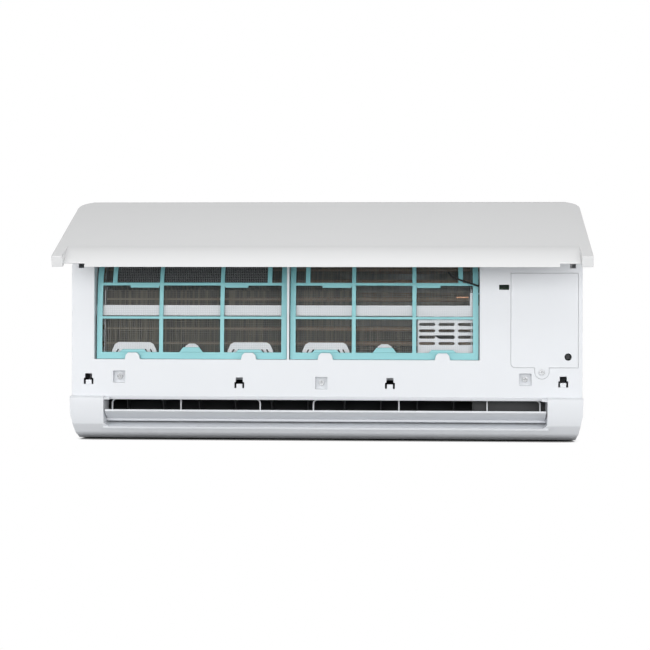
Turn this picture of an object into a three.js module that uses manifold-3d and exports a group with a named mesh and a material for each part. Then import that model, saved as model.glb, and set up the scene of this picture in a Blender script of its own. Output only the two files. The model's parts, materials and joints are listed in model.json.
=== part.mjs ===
// Indoor unit of a mini split air conditioner, with its front panel raised.
// Units are millimetres. +X is the unit's right as seen from the room, +Z is up, and the wall is the
// plane y = 0. Sections are drawn as [depth, z], where depth is the distance from the wall (y = -depth).
import * as THREE from 'three';
import * as BufferGeometryUtils from 'three/addons/utils/BufferGeometryUtils.js';
import Module from 'manifold-3d';

const wasm = await Module();
wasm.setup();

// ---- driving dimensions ----
const WIDTH = 720;
const HEIGHT = 290;
const DEPTH = 190;
const SEAT = 0.3;              // gap between pieces that rest on each other
const SLIDE = 0.9;             // gap beside pieces that slide or swing

const SHELL = 3;               // wall of the front frame
const THIN = 2;                // wall of the small mouldings
const PANEL_STANDOFF = 16.5;   // frame front to panel face
const PANEL_WALL = 2.6;
const CORNER_RADIUS = 14.5;    // top front edge of the frame
const LEFT_COLUMN = 32;        // frame side to the left filter window
const RIGHT_COLUMN = 143.2;    // right filter window to the frame side
const DIVIDER_WIDTH = 3;
const DIVIDER_SHIFT = 2.95;    // the divider stands a little right of the windows' middle

const SEAM_HEIGHT = 60;        // bottom to the seam under the panel
const MOUTH_TOP_HEIGHT = 55;
const MOUTH_LIP_HEIGHT = 17;
const LEDGE_HEIGHT = 112;      // bottom to the sill of the filter windows
const BLOCK_WIDTH_LEFT = 48.2; // corner blocks beside the air outlet
const BLOCK_WIDTH_RIGHT = 49.8;

const HINGE_DEPTH = 107.4;     // panel pivot
const HINGE_BELOW_TOP = 40.8;
const PANEL_BELOW_TOP = 5;     // panel's top edge under the frame's top
const PANEL_OPEN_ANGLE = 67;
const PANEL_CORNER = 26;
const CHIN_HEIGHT = 40;        // finger scoop along the panel's lower edge
const CHIN_SETBACK = 15.2;
const HOOK_WIDTH = 15;         // full-depth ends beside the scoop
const ARM_THICKNESS = 6;
const ARM_INSET = 13.4;        // middle of an arm to the frame side
const ARM_PIN_RADIUS = 3;

const FILTER_THICKNESS = 2.4;
const FILTER_BORDER = 7.8;
const FILTER_BAR = 5.7;
const FILTER_SILL_BORDER = 10;
const NET_THICKNESS = 0.6;
const NET_STRAND = 1.6;
const NET_COLUMNS = 10;

const FAN_RADIUS = 44;
const FAN_DEPTH = 80;
const FAN_HEIGHT = 117;        // bottom to the fan's axis
const FAN_BLADES = 15;
const FAN_SECTIONS = 3;
const SHAFT_RADIUS = 4;
const COIL_THICKNESS = 24;
const TUBE_RADIUS = 3.5;
const TUBE_PITCH = 21;
const DUCT_WALL = 2.4;

const LOUVER_CHORD = 36.5;
const LOUVER_THICKNESS = 3;
const LOUVER_REST_ANGLE = 22.6; // above the horizontal, leading edge up
const VANES_PER_GROUP = 5;
const VANE_THICKNESS = 1.6;
const VANE_CHORD = 25;

// ---- sizes that follow ----
const HALF = WIDTH / 2;
const TOP = HEIGHT / 2;
const BOTTOM = -HEIGHT / 2;
const FRAME_FRONT = DEPTH - PANEL_STANDOFF;
const FRAME_INNER = FRAME_FRONT - SHELL;
const SEAM_Z = BOTTOM + SEAM_HEIGHT;
const MOUTH_TOP = BOTTOM + MOUTH_TOP_HEIGHT;
const MOUTH_LIP = BOTTOM + MOUTH_LIP_HEIGHT;
const LEDGE_Z = BOTTOM + LEDGE_HEIGHT;
const WINDOW_LEFT = -HALF + LEFT_COLUMN;
const WINDOW_RIGHT = HALF - RIGHT_COLUMN;
const DIVIDER_X = (WINDOW_LEFT + WINDOW_RIGHT) / 2 + DIVIDER_SHIFT;
const MOUTH_LEFT = -HALF + BLOCK_WIDTH_LEFT;
const MOUTH_RIGHT = HALF - BLOCK_WIDTH_RIGHT;
const HINGE_Z = TOP - HINGE_BELOW_TOP;
const FAN_Z = BOTTOM + FAN_HEIGHT;
const COIL_LEFT = WINDOW_LEFT + 10;
const COIL_RIGHT = WINDOW_RIGHT - 10;
const DUCT_LEFT = MOUTH_LEFT - 0.5;
const DUCT_RIGHT = WINDOW_RIGHT - 9;

// ---- materials ----
const FINISH = {
  whiteShell: [0xf1f3f5, 0.35, 0],
  whiteInner: [0xe4e7ea, 0.5, 0],
  panelFace: [0xeceff1, 0.22, 0],
  teal: [0x7fcdd2, 0.4, 0],
  net: [0x6f7f80, 0.8, 0],
  dark: [0x2c2d2f, 0.7, 0],
  coal: [0x3c3c3e, 0.9, 0],
  fins: [0x8f897c, 0.45, 0.8],
  copper: [0xb87348, 0.35, 1],
  brass: [0xc9a24f, 0.35, 1],
  steel: [0xb9bcbf, 0.4, 1],
  board: [0x2f6b45, 0.6, 0],
  rubber: [0x232323, 0.85, 0],
  foam: [0x9aa0a3, 0.9, 0]
};

function materialOf(finish) {
  const [color, roughness, metalness] = FINISH[finish];
  return new THREE.MeshStandardMaterial({ color, roughness, metalness });
}

// ---- solids ----
function solidOf(geometry) {
  const bare = geometry.index ? geometry : geometry.clone();
  bare.deleteAttribute('normal');
  bare.deleteAttribute('uv');
  const merged = BufferGeometryUtils.mergeVertices(bare, 1e-4);
  const mesh = new wasm.Mesh({
    numProp: 3,
    vertProperties: new Float32Array(merged.attributes.position.array),
    triVerts: new Uint32Array(merged.index.array)
  });
  return new wasm.Manifold(mesh);
}

function geometryOf(solid) {
  const mesh = solid.getMesh();
  const geometry = new THREE.BufferGeometry();
  geometry.setAttribute('position', new THREE.BufferAttribute(new Float32Array(mesh.vertProperties), 3));
  geometry.setIndex(new THREE.BufferAttribute(new Uint32Array(mesh.triVerts), 1));
  return geometry;
}

const join = (...solids) => solids.reduce((all, solid) => all.add(solid));
const cut = (solid, ...tools) => tools.reduce((rest, tool) => rest.subtract(tool), solid);

// Box between two X values, two depths and two heights.
function block(x0, x1, depth0, depth1, z0, z1) {
  const box = new THREE.BoxGeometry(x1 - x0, depth1 - depth0, z1 - z0);
  box.translate((x0 + x1) / 2, -(depth0 + depth1) / 2, (z0 + z1) / 2);
  return solidOf(box);
}

function shapeOf(points) {
  return new THREE.Shape(points.map(([a, b]) => new THREE.Vector2(a, b)));
}

// Section in [depth, z], extruded along X.
function sectionAlongX(section, x0, x1) {
  const shape = shapeOf(section.map(([depth, z]) => [-depth, z]));
  const solid = new THREE.ExtrudeGeometry(shape, { depth: x1 - x0, bevelEnabled: false, steps: 1 });
  const axes = new THREE.Matrix4().makeBasis(
    new THREE.Vector3(0, 1, 0), new THREE.Vector3(0, 0, 1), new THREE.Vector3(1, 0, 0));
  solid.applyMatrix4(axes);
  solid.translate(x0, 0, 0);
  return solidOf(solid);
}

// Front view outline in [x, z], extruded from one depth to another.
function outlineAlongDepth(outline, depth0, depth1, holes = []) {
  const shape = shapeOf(outline);
  shape.holes = holes.map((hole) => new THREE.Path(hole.map(([x, z]) => new THREE.Vector2(x, z))));
  const solid = new THREE.ExtrudeGeometry(shape, { depth: depth1 - depth0, bevelEnabled: false, steps: 1 });
  solid.rotateX(Math.PI / 2);
  solid.translate(0, -depth0, 0);
  return solidOf(solid);
}

function rod(axis, from, to, centre, radius, sides = 16) {
  const length = to - from;
  const bar = new THREE.CylinderGeometry(radius, radius, length, sides);
  const middle = (from + to) / 2;
  if (axis === 'x') {
    bar.rotateZ(Math.PI / 2);
    bar.translate(middle, -centre[0], centre[1]);
  } else if (axis === 'depth') {
    bar.translate(centre[0], -middle, centre[1]);
  } else {
    bar.rotateX(Math.PI / 2);
    bar.translate(centre[0], -centre[1], middle);
  }
  return solidOf(bar);
}

// Points of an arc in a section, from one angle to another in degrees.
function arc(centre, radius, from, to, steps) {
  const points = [];
  for (let i = 0; i <= steps; i += 1) {
    const angle = THREE.MathUtils.degToRad(from + (to - from) * i / steps);
    points.push([centre[0] + radius * Math.cos(angle), centre[1] + radius * Math.sin(angle)]);
  }
  return points;
}

// Line of section points moved sideways: positive is to the left of its direction.
function offsetLine(line, distance) {
  return line.map((point, i) => {
    const before = line[Math.max(i - 1, 0)];
    const after = line[Math.min(i + 1, line.length - 1)];
    const first = unit(before, i > 0 ? point : after);
    const second = unit(i < line.length - 1 ? point : before, after);
    const normal = [-(first[1] + second[1]), first[0] + second[0]];
    const length = Math.hypot(...normal);
    const spread = Math.sqrt((1 + first[0] * second[0] + first[1] * second[1]) / 2);
    return point.map((value, axis) => value + normal[axis] / length * distance / spread);
  });
}

function unit(from, to) {
  const length = Math.hypot(to[0] - from[0], to[1] - from[1]);
  return [(to[0] - from[0]) / length, (to[1] - from[1]) / length];
}

// Band of even thickness that lies on the left of a line.
function band(line, thickness, x0, x1) {
  return sectionAlongX([...line, ...offsetLine(line, thickness).reverse()], x0, x1);
}

// Round tube along a smooth run, closed at both ends.
function tube(points, radius, steps, sides = 8, smooth = true) {
  const path = smooth ? new THREE.CatmullRomCurve3(points) : straightRun(points);
  const section = new THREE.Shape();
  section.absarc(0, 0, radius, 0, Math.PI * 2, false);
  const solid = new THREE.ExtrudeGeometry(section, { steps, bevelEnabled: false, extrudePath: path,
    curveSegments: sides });
  return solidOf(solid);
}

function straightRun(points) {
  const path = new THREE.CurvePath();
  for (let i = 1; i < points.length; i += 1) {
    path.add(new THREE.LineCurve3(points[i - 1], points[i]));
  }
  return path;
}

const at = (x, depth, z) => new THREE.Vector3(x, -depth, z);

function turned(solid, centre, degrees) {
  const mesh = geometryOf(solid);
  mesh.translate(0, centre[0], -centre[1]);
  mesh.rotateX(THREE.MathUtils.degToRad(degrees));
  mesh.translate(0, -centre[0], centre[1]);
  return solidOf(mesh);
}

const unitModel = new THREE.Group();
const insidePanel = new THREE.Group();

function addPiece(name, finish, solid, group = unitModel) {
  const mesh = new THREE.Mesh(geometryOf(solid), materialOf(finish));
  mesh.name = name;
  group.add(mesh);
}

// ---- front frame ----
const LATCHES = [
  { x: -HALF + 23.9, z: SEAM_Z + 24 }, { x: DIVIDER_X - 68.8, z: SEAM_Z + 19 },
  { x: WINDOW_RIGHT - 125.6, z: SEAM_Z + 19 }, { x: HALF - 26.6, z: SEAM_Z + 22 }
];
const WELLS = [
  { x: WINDOW_LEFT + 35.5, z: SEAM_Z + 27 }, { x: DIVIDER_X + 47.3, z: SEAM_Z + 19 },
  { x: WINDOW_RIGHT + 63.8, z: SEAM_Z + 25 }
];
const WELL_SIZE = 17;
const WELL_DEPTH = 10;
const COVER = { left: HALF - 99.6, right: HALF - 6, bottom: LEDGE_Z - 10, top: HINGE_Z - 15, tab: HALF - 56.4 };
const COVER_THICKNESS = 2;
const BUTTON = { x: HALF - 20, z: BOTTOM + 117, radius: 5 };
const ARM_SLOT_WIDTH = ARM_THICKNESS + 2 * SLIDE;
const ARM_XS = [-HALF + ARM_INSET, HALF - ARM_INSET];
const GRILLE = { left: WINDOW_LEFT - 8, right: HALF - 26, back: 34, front: 146 };
const RIB = { bottom: BOTTOM + 174, top: BOTTOM + 189, depth0: DEPTH - 36.5, depth1: DEPTH - 35 };

function frameSection(inset) {
  const front = FRAME_FRONT - inset;
  const top = TOP - inset;
  return [[48, top], ...arc([front - CORNER_RADIUS + inset, top - CORNER_RADIUS + inset],
    CORNER_RADIUS - inset, 90, 0, 6), [front, SEAM_Z]];
}

function cornerSection(inset) {
  const chin = DEPTH - inset;
  return [...frameSection(inset), [chin - 2.5, SEAM_Z - inset], [chin, SEAM_Z - 2.5 - inset],
    [chin, SEAM_Z - 25], [chin - 4, SEAM_Z - 40], [chin - 14, SEAM_Z - 52],
    [chin - 32, BOTTOM + inset], [48, BOTTOM + inset]];
}

// Sides that draw in towards the bottom, as the front view shows.
function sideTaper(side) {
  const edge = side * HALF;
  const inward = (amount) => edge - side * amount;
  const points = [[edge + side * 9, SEAM_Z], [edge, SEAM_Z], [inward(1), SEAM_Z - 25],
    [inward(3.5), SEAM_Z - 38], [inward(5.5), SEAM_Z - 50], [inward(8), BOTTOM], [inward(8), BOTTOM - 9],
    [edge + side * 9, BOTTOM - 9]];
  return outlineAlongDepth(points, -9, DEPTH + 9);
}

function mouthOutline(inset) {
  return [[MOUTH_LEFT + inset, MOUTH_TOP - inset], [MOUTH_LEFT + inset, MOUTH_LIP + 5],
    [MOUTH_LEFT + 6.5 + inset, MOUTH_LIP + inset], [MOUTH_RIGHT - 6 - inset, MOUTH_LIP + inset],
    [MOUTH_RIGHT - inset, MOUTH_LIP + 5], [MOUTH_RIGHT - inset, MOUTH_TOP - inset]];
}

// Wall at an end of the air outlet, from the frame's front back to the duct.
const MOUTH_BACK = 148;

function mouthEnd(x0, x1) {
  const room = block(x0, x1, MOUTH_BACK, DEPTH, BOTTOM, SEAM_Z - 1);
  return sectionAlongX(cornerSection(1.5), x0, x1).intersect(room);
}

function latchTool({ x, z }) {
  const lower = block(x - 6.9, x + 6.9, FRAME_INNER - 9, DEPTH, z - 7.5, z + 1);
  const upper = block(x - 4.9, x + 4.9, FRAME_INNER - 9, DEPTH, z, z + 7.5);
  return join(lower, upper);
}

function latchHook({ x, z }) {
  return block(x - 4.2, x + 4.2, FRAME_INNER - 1, FRAME_FRONT - 1, z - 8, z - 1.3);
}

function wellCup({ x, z }) {
  const half = WELL_SIZE / 2;
  const back = FRAME_FRONT - WELL_DEPTH;
  return block(x - half - THIN, x + half + THIN, back - THIN, FRAME_INNER + 1, z - half - THIN, z + half + THIN);
}

function wellTool({ x, z }) {
  const half = WELL_SIZE / 2;
  const back = FRAME_FRONT - WELL_DEPTH;
  return join(block(x - half, x + half, back, DEPTH, z - half, z + half),
    rod('depth', back - 9, back + 1, [x, z], 2.4, 12));
}

const SILL_BACKINGS = [
  { x: WINDOW_LEFT + 54.1, half: 32, top: 24 }, { x: WINDOW_LEFT + 136.9, half: 13, top: 22 },
  { x: DIVIDER_X - 55, half: 32.5, top: 24 }, { x: DIVIDER_X + 52.6, half: 33.5, top: 24 },
  { x: DIVIDER_X + 136, half: 13.5, top: 22 }
];
const TONGUES = [WINDOW_LEFT + 54.3, DIVIDER_X - 55.6, DIVIDER_X + 52.8, WINDOW_RIGHT - 52];
const SILL_BACK = RIB.depth0;

function sillBacking({ x, half, top }) {
  const outline = [[x - half, LEDGE_Z - 1], [x + half, LEDGE_Z - 1], [x + half, LEDGE_Z + top - 12],
    [x + half - 4, LEDGE_Z + top - 3], [x + half - 9, LEDGE_Z + top],
    [x - half + 9, LEDGE_Z + top], [x - half + 4, LEDGE_Z + top - 3], [x - half, LEDGE_Z + top - 12]];
  return outlineAlongDepth(outline, SILL_BACK, RIB.depth1);
}

function slantedSlots({ x, half, top }) {
  if (half < 20) {
    return [];
  }
  return [-1, 1].flatMap((side) => [half - 6, half - 13].map((offset) => {
    const low = x + side * offset;
    const z = LEDGE_Z + top - 16;
    const lean = side * -3;
    const outline = [[low - 1, z], [low + 1, z], [low + 1 + lean, z + 6], [low - 1 + lean, z + 6]];
    return outlineAlongDepth(outline, SILL_BACK - 5, RIB.depth1 + 5);
  }));
}

function roundSlot(x0, x1, z, height, steps = 4) {
  const r = height / 2;
  return [...arc([x1 - r, z], r, -90, 90, steps), ...arc([x0 + r, z], r, 90, 270, steps)];
}

// Plate with rows of slots in front of the coil's end, beside the electrical side.
const PLATE = { left: WINDOW_RIGHT - 87, right: WINDOW_RIGHT - 4.5, columns: 3, rows: 5, rowPitch: 9 };

function slottedPlate() {
  const pitch = (PLATE.right - PLATE.left) / PLATE.columns;
  const holes = [];
  for (let row = 0; row < PLATE.rows; row += 1) {
    for (let column = 0; column < PLATE.columns; column += 1) {
      const x = PLATE.left + pitch * column + 2;
      holes.push(roundSlot(x, x + pitch - 4.6, RIB.bottom - 2.8 - PLATE.rowPitch * row, 4.2));
    }
  }
  const outline = [[PLATE.left, LEDGE_Z - 1], [WINDOW_RIGHT + 1, LEDGE_Z - 1],
    [WINDOW_RIGHT + 1, RIB.bottom + 1], [PLATE.left, RIB.bottom + 1]];
  return outlineAlongDepth(outline, SILL_BACK, RIB.depth1, holes);
}

function windowWall(x0, x1) {
  const section = [[FRAME_INNER + 1, LEDGE_Z - THIN], [FRAME_INNER + 1, TOP - 24], [FRAME_INNER - 14, TOP - 24],
    [SILL_BACK - 12, TOP - 24], [SILL_BACK, RIB.top + 14], [SILL_BACK, LEDGE_Z - THIN]];
  return sectionAlongX(section, x0, x1);
}

function coverOutline(grow) {
  const { left, right, bottom, top, tab } = COVER;
  const corner = 6;
  return [[left - grow, top + grow], [left - grow, bottom + corner],
    ...arc([left + corner, bottom + corner], corner + grow, 195, 270, 4),
    [tab - 10 - grow, bottom - grow], [tab - 10 - grow, bottom - 6],
    ...arc([tab, bottom - 6], 10 + grow, 180, 360, 8),
    [tab + 10 + grow, bottom - grow], [right + grow, bottom - grow], [right + grow, top + grow]];
}

function frontFrame() {
  const windowTop = TOP - 20;
  const inner = [[40, TOP - SHELL], ...frameSection(SHELL).slice(1, -1), [FRAME_INNER, SEAM_Z - SHELL],
    ...cornerSection(SHELL).slice(-6, -1), [40, BOTTOM + SHELL]];
  let frame = sectionAlongX(cornerSection(0), -HALF, HALF);
  frame = cut(frame, sideTaper(-1), sideTaper(1), sectionAlongX(inner, -HALF + 9, HALF - 9),
    sectionAlongX([[40, TOP - SHELL], ...frameSection(SHELL).slice(1), [40, SEAM_Z]], -HALF + SHELL, HALF - SHELL));
  const beltFront = MOUTH_TOP + 1;
  frame = cut(frame, block(MOUTH_LEFT, MOUTH_RIGHT, FRAME_FRONT + 1.5, DEPTH + 9, beltFront, SEAM_Z + 9));
  const belt = [[MOUTH_BACK, ROOF_END[1]], [FRAME_INNER, MOUTH_TOP], [FRAME_FRONT + 1.5, MOUTH_TOP],
    [FRAME_FRONT + 1.5, MOUTH_TOP + 3], [MOUTH_BACK, ROOF_END[1] + 3]];
  frame = join(frame, sectionAlongX(belt, MOUTH_LEFT - 2, MOUTH_RIGHT + 2));
  const browZ = MOUTH_TOP - 2.6;
  frame = join(frame, block(MOUTH_LEFT - 1, MOUTH_RIGHT + 1, FRAME_INNER, FRAME_FRONT, browZ, MOUTH_TOP + 1));
  const rounding = [[FRAME_FRONT - 2.2, browZ - 1], [FRAME_FRONT - 2.2, browZ + 0.2], [FRAME_FRONT - 1, browZ + 1.4],
    [FRAME_FRONT + 0.2, browZ + 3.6], [FRAME_FRONT + 1.2, browZ + 8], [DEPTH + 9, browZ + 8], [DEPTH + 9, browZ - 1]];
  frame = cut(frame, sectionAlongX(rounding, MOUTH_LEFT, MOUTH_RIGHT));
  frame = join(frame, mouthEnd(MOUTH_LEFT - THIN, MOUTH_LEFT + 8), mouthEnd(MOUTH_RIGHT - 8, MOUTH_RIGHT + THIN));
  frame = cut(frame, outlineAlongDepth(mouthOutline(0), MOUTH_BACK - 9, DEPTH + 9));
  const lipFloor = [[DEPTH - 6, MOUTH_LIP - 3], [DEPTH - 5, MOUTH_LIP], [148, MOUTH_LIP + 6.5], [148, MOUTH_LIP + 4]];
  frame = join(frame, sectionAlongX(lipFloor, MOUTH_LEFT - 2, MOUTH_RIGHT + 2));
  frame = cut(frame, block(WINDOW_LEFT, DIVIDER_X - DIVIDER_WIDTH / 2, FRAME_INNER - 9, DEPTH, LEDGE_Z, windowTop),
    block(DIVIDER_X + DIVIDER_WIDTH / 2, WINDOW_RIGHT, FRAME_INNER - 9, DEPTH, LEDGE_Z, windowTop));
  frame = join(frame, windowWall(WINDOW_LEFT - THIN, WINDOW_LEFT), windowWall(WINDOW_RIGHT, WINDOW_RIGHT + THIN),
    windowWall(DIVIDER_X - DIVIDER_WIDTH / 2, DIVIDER_X + DIVIDER_WIDTH / 2),
    block(WINDOW_LEFT - 1, WINDOW_RIGHT + 1, SILL_BACK, FRAME_INNER + 1, LEDGE_Z - THIN, LEDGE_Z),
    block(WINDOW_LEFT - 1, WINDOW_RIGHT + 1, RIB.depth0, RIB.depth1, RIB.bottom, RIB.top),
    block(WINDOW_RIGHT - 13.2, WINDOW_RIGHT - 6.2, RIB.depth0, RIB.depth1, RIB.top - 1, RIB.top + 16),
    block(WINDOW_RIGHT - 13.2, WINDOW_RIGHT + 1, RIB.depth0, RIB.depth1, RIB.top + 15.9, RIB.top + 18),
    slottedPlate(), ...SILL_BACKINGS.map(sillBacking));
  frame = cut(frame, ...SILL_BACKINGS.flatMap(slantedSlots));
  const tongues = TONGUES.map((x) => outlineAlongDepth([[x - 11, LEDGE_Z - 1], [x + 11, LEDGE_Z - 1],
    [x + 9.5, LEDGE_Z + 6], [x + 6, LEDGE_Z + 9.5], [x - 6, LEDGE_Z + 9.5], [x - 9.5, LEDGE_Z + 6]],
  FRAME_FRONT - 6.5, FRAME_FRONT));
  frame = join(frame, ...tongues, ...WELLS.map(wellCup));
  frame = cut(frame, ...WELLS.map(wellTool), ...LATCHES.map(latchTool));
  frame = join(frame, ...LATCHES.map(latchHook));
  const ring = outlineAlongDepth(coverOutline(4), FRAME_INNER - 3, FRAME_INNER);
  frame = join(frame, ring);
  const opening = block(COVER.left + 5, COVER.right - 6, FRAME_INNER - 9, DEPTH, COVER.bottom + 5, COVER.top - 5);
  frame = cut(frame, outlineAlongDepth(coverOutline(SEAT), FRAME_FRONT - COVER_THICKNESS - 2 * SEAT, DEPTH), opening,
    rod('depth', FRAME_INNER - 9, DEPTH, [COVER.tab, COVER.bottom - 6.5], 2.2, 12),
    block(WINDOW_RIGHT + 27, WINDOW_RIGHT + 41, FRAME_INNER - 9, DEPTH, TOP - 79, TOP - 72));
  for (const x of ARM_XS) {
    frame = cut(frame, block(x - ARM_SLOT_WIDTH / 2, x + ARM_SLOT_WIDTH / 2, HINGE_DEPTH - 7, DEPTH,
      HINGE_Z - 8, TOP + 9));
    frame = join(frame, armBearing(x));
  }
  frame = cut(frame, block(GRILLE.left, GRILLE.right, GRILLE.back, GRILLE.front, TOP - 9, TOP + 9));
  for (const end of [-1, 1]) {
    const x = end < 0 ? MOUTH_LEFT : MOUTH_RIGHT;
    frame = cut(frame, rod('x', x - 12, x + 12, LOUVER_PIVOT, LOUVER_PIN_RADIUS + SEAT, 12));
  }
  return frame;
}

// Bearing plate beside each arm slot, hanging from the frame's top, with the hole for the arm's pin.
function armBearing(x) {
  const inner = x - Math.sign(x) * (ARM_SLOT_WIDTH / 2);
  const [x0, x1] = [inner, inner - Math.sign(x) * 4].sort((a, b) => a - b);
  const plate = sectionAlongX([[HINGE_DEPTH - 10, TOP - 1], [HINGE_DEPTH + 10, TOP - 1],
    ...arc([HINGE_DEPTH, HINGE_Z], 8, 0, -180, 8)], x0, x1);
  return cut(plate, rod('x', x0 - 1, x1 + 1, [HINGE_DEPTH, HINGE_Z], ARM_PIN_RADIUS + SEAT, 16));
}

// ---- louver, vanes and outlet ----
const LOUVER_PIVOT = [DEPTH - 30, MOUTH_LIP + 10];
const LOUVER_PIN_RADIUS = 2.6;
const FLOW_ANGLE = 26;

function louverLine() {
  const angle = THREE.MathUtils.degToRad(LOUVER_REST_ANGLE);
  const along = [Math.cos(angle), Math.sin(angle)];
  const start = [LOUVER_PIVOT[0] - 5 * along[0], LOUVER_PIVOT[1] - 5 * along[1]];
  const line = [0, 0.25, 0.5, 0.75, 1].map((t) => {
    const bow = 1.6 * Math.sin(Math.PI * t);
    return [start[0] + along[0] * LOUVER_CHORD * t + along[1] * bow,
      start[1] + along[1] * LOUVER_CHORD * t - along[0] * bow];
  });
  return line;
}

function louver() {
  const [x0, x1] = [MOUTH_LEFT + 1.6, MOUTH_RIGHT - 1.6];
  const blade = band(louverLine(), LOUVER_THICKNESS, x0, x1);
  const hub = rod('x', x0 - 0.5, x1 + 0.5, LOUVER_PIVOT, 3.4, 10);
  const pins = rod('x', MOUTH_LEFT - 6, MOUTH_RIGHT + 5, LOUVER_PIVOT, LOUVER_PIN_RADIUS, 12);
  return join(blade, hub, pins);
}

const ROOF_END = [MOUTH_BACK - 1.5, MOUTH_TOP + 8.3];
const DUCT_TOP_LINE = [[FAN_DEPTH + 34, FAN_Z - 40], ROOF_END];
const SCROLL_RADIUS = FAN_RADIUS + 6;

function scrollLine() {
  return [...arc([FAN_DEPTH, FAN_Z], SCROLL_RADIUS, 128, 250, 12),
    [FAN_DEPTH + 4, FAN_Z - SCROLL_RADIUS - 8], [146, MOUTH_LIP + 7]];
}

function outletDuct() {
  const scroll = band(scrollLine(), -DUCT_WALL, DUCT_LEFT - THIN, DUCT_RIGHT + THIN);
  const roof = band(DUCT_TOP_LINE, DUCT_WALL, DUCT_LEFT - THIN, DUCT_RIGHT + THIN);
  const endSection = [...offsetLine(scrollLine(), -DUCT_WALL / 2),
    [146, MOUTH_TOP - 2], ...offsetLine(DUCT_TOP_LINE, DUCT_WALL / 2).reverse(), [FAN_DEPTH + 34, FAN_Z + 20],
    [FAN_DEPTH, FAN_Z + 34]];
  const leftEnd = sectionAlongX(endSection, DUCT_LEFT - THIN + 0.3, DUCT_LEFT);
  const rightEnd = sectionAlongX(endSection, DUCT_RIGHT, DUCT_RIGHT + THIN - 0.3);
  const blank = join(block(DUCT_RIGHT, MOUTH_RIGHT - 1, 141, 143, MOUTH_LIP + 8, FAN_Z - 36),
    block(DUCT_RIGHT + 4, MOUTH_RIGHT - 1, 141, 143, FAN_Z - 40, SEAM_Z + 38));
  const boss = rod('depth', 142, FRAME_FRONT - WELL_DEPTH - THIN - SEAT, [WELLS[2].x, WELLS[2].z], 5, 12);
  let duct = join(scroll, roof, leftEnd, rightEnd, blank, boss);
  duct = cut(duct, rod('x', DUCT_LEFT - 9, DUCT_LEFT + 9, [FAN_DEPTH, FAN_Z], 9, 16),
    rod('x', DUCT_RIGHT - 9, DUCT_RIGHT + 9, [FAN_DEPTH, FAN_Z], 14, 16),
    rod('depth', 148, 180, [WELLS[2].x, WELLS[2].z], 2.1, 12));
  for (const vane of VANE_XS) {
    duct = cut(duct, vaneRod(vane, -32, -16, 1.9));
  }
  return duct;
}

// Vanes stand across the flow. Their frame: origin on the flow's middle line, u downstream, v up.
const VANE_ORIGIN = [128, (MOUTH_LIP + FAN_Z - 40) / 2 + 6];
const VANE_HALF_HEIGHT = 12.6;
const VANE_XS = [];
for (const [from, to] of [[DUCT_LEFT, (DUCT_LEFT + DUCT_RIGHT) / 2], [(DUCT_LEFT + DUCT_RIGHT) / 2, DUCT_RIGHT]]) {
  for (let i = 0; i < VANES_PER_GROUP; i += 1) {
    VANE_XS.push(from + (to - from) * (i + 0.5) / VANES_PER_GROUP);
  }
}

function inFlow(solid) {
  const mesh = geometryOf(solid);
  mesh.rotateX(THREE.MathUtils.degToRad(FLOW_ANGLE));
  mesh.translate(0, -VANE_ORIGIN[0], VANE_ORIGIN[1]);
  return solidOf(mesh);
}

function vaneRod(x, from, to, radius) {
  return inFlow(rod('z', from, to, [x, 0], radius, 6));
}

function vane(x) {
  const half = VANE_CHORD / 2;
  const blade = block(x - VANE_THICKNESS / 2, x + VANE_THICKNESS / 2, -half, half,
    -VANE_HALF_HEIGHT, VANE_HALF_HEIGHT);
  const notch = block(x - 9, x + 9, -half - 1, -half + 5.5, 4.7, 8.3);
  return inFlow(join(cut(blade, notch), rod('z', -VANE_HALF_HEIGHT - 6, -VANE_HALF_HEIGHT + 4, [x, 0], 1.5, 8)));
}

function linkBar(group) {
  const xs = VANE_XS.slice(group * VANES_PER_GROUP, (group + 1) * VANES_PER_GROUP);
  const half = VANE_CHORD / 2;
  return inFlow(block(xs[0] - 8, xs[VANES_PER_GROUP - 1] + 8, -half + 0.4, -half + 3, 5.2, 7.8));
}

function outletGuard(x0, x1, posts) {
  const top = MOUTH_TOP + 0.8;
  const bottom = MOUTH_LIP + 7.4;
  const radius = 7;
  const wire = 2;
  const outline = (inset) => [[x0 + inset, bottom - (inset ? 1 : 0)], [x1 - inset, bottom - (inset ? 1 : 0)],
    ...arc([x1 - radius, top - radius], radius - inset, 0, 90, 5),
    ...arc([x0 + radius, top - radius], radius - inset, 90, 180, 5)];
  const hoop = cut(outlineAlongDepth(outline(0), 148, 150), outlineAlongDepth(outline(wire), 147, 151));
  return join(hoop, ...posts.map((x) => block(x - wire / 2, x + wire / 2, 148, 150, bottom, top - 0.5)));
}

// ---- front panel, drawn closed and then raised about its pivot ----
const PANEL_BOTTOM = SEAM_Z + 1.2;
const PANEL_TOP = TOP - PANEL_BELOW_TOP;
const CREASE_Z = PANEL_BOTTOM + CHIN_HEIGHT;
const PANEL_RELIEF = 73.8;     // keeps the panel's rim outside the frame's corner as it turns
const LIP_DEPTH = DEPTH - CHIN_SETBACK;
const NOTCH = { from: HALF - 43, to: HALF - HOOK_WIDTH, height: 8.4 };   // finger notches in the lip

function panelOutline(inset) {
  const r = PANEL_CORNER - inset;
  const [left, right, top] = [-HALF + inset, HALF - inset, PANEL_TOP - inset];
  return [[left, PANEL_BOTTOM - 9], [right, PANEL_BOTTOM - 9], ...arc([right - r, top - r], r, 0, 90, 6),
    ...arc([left + r, top - r], r, 90, 180, 6)];
}

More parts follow.
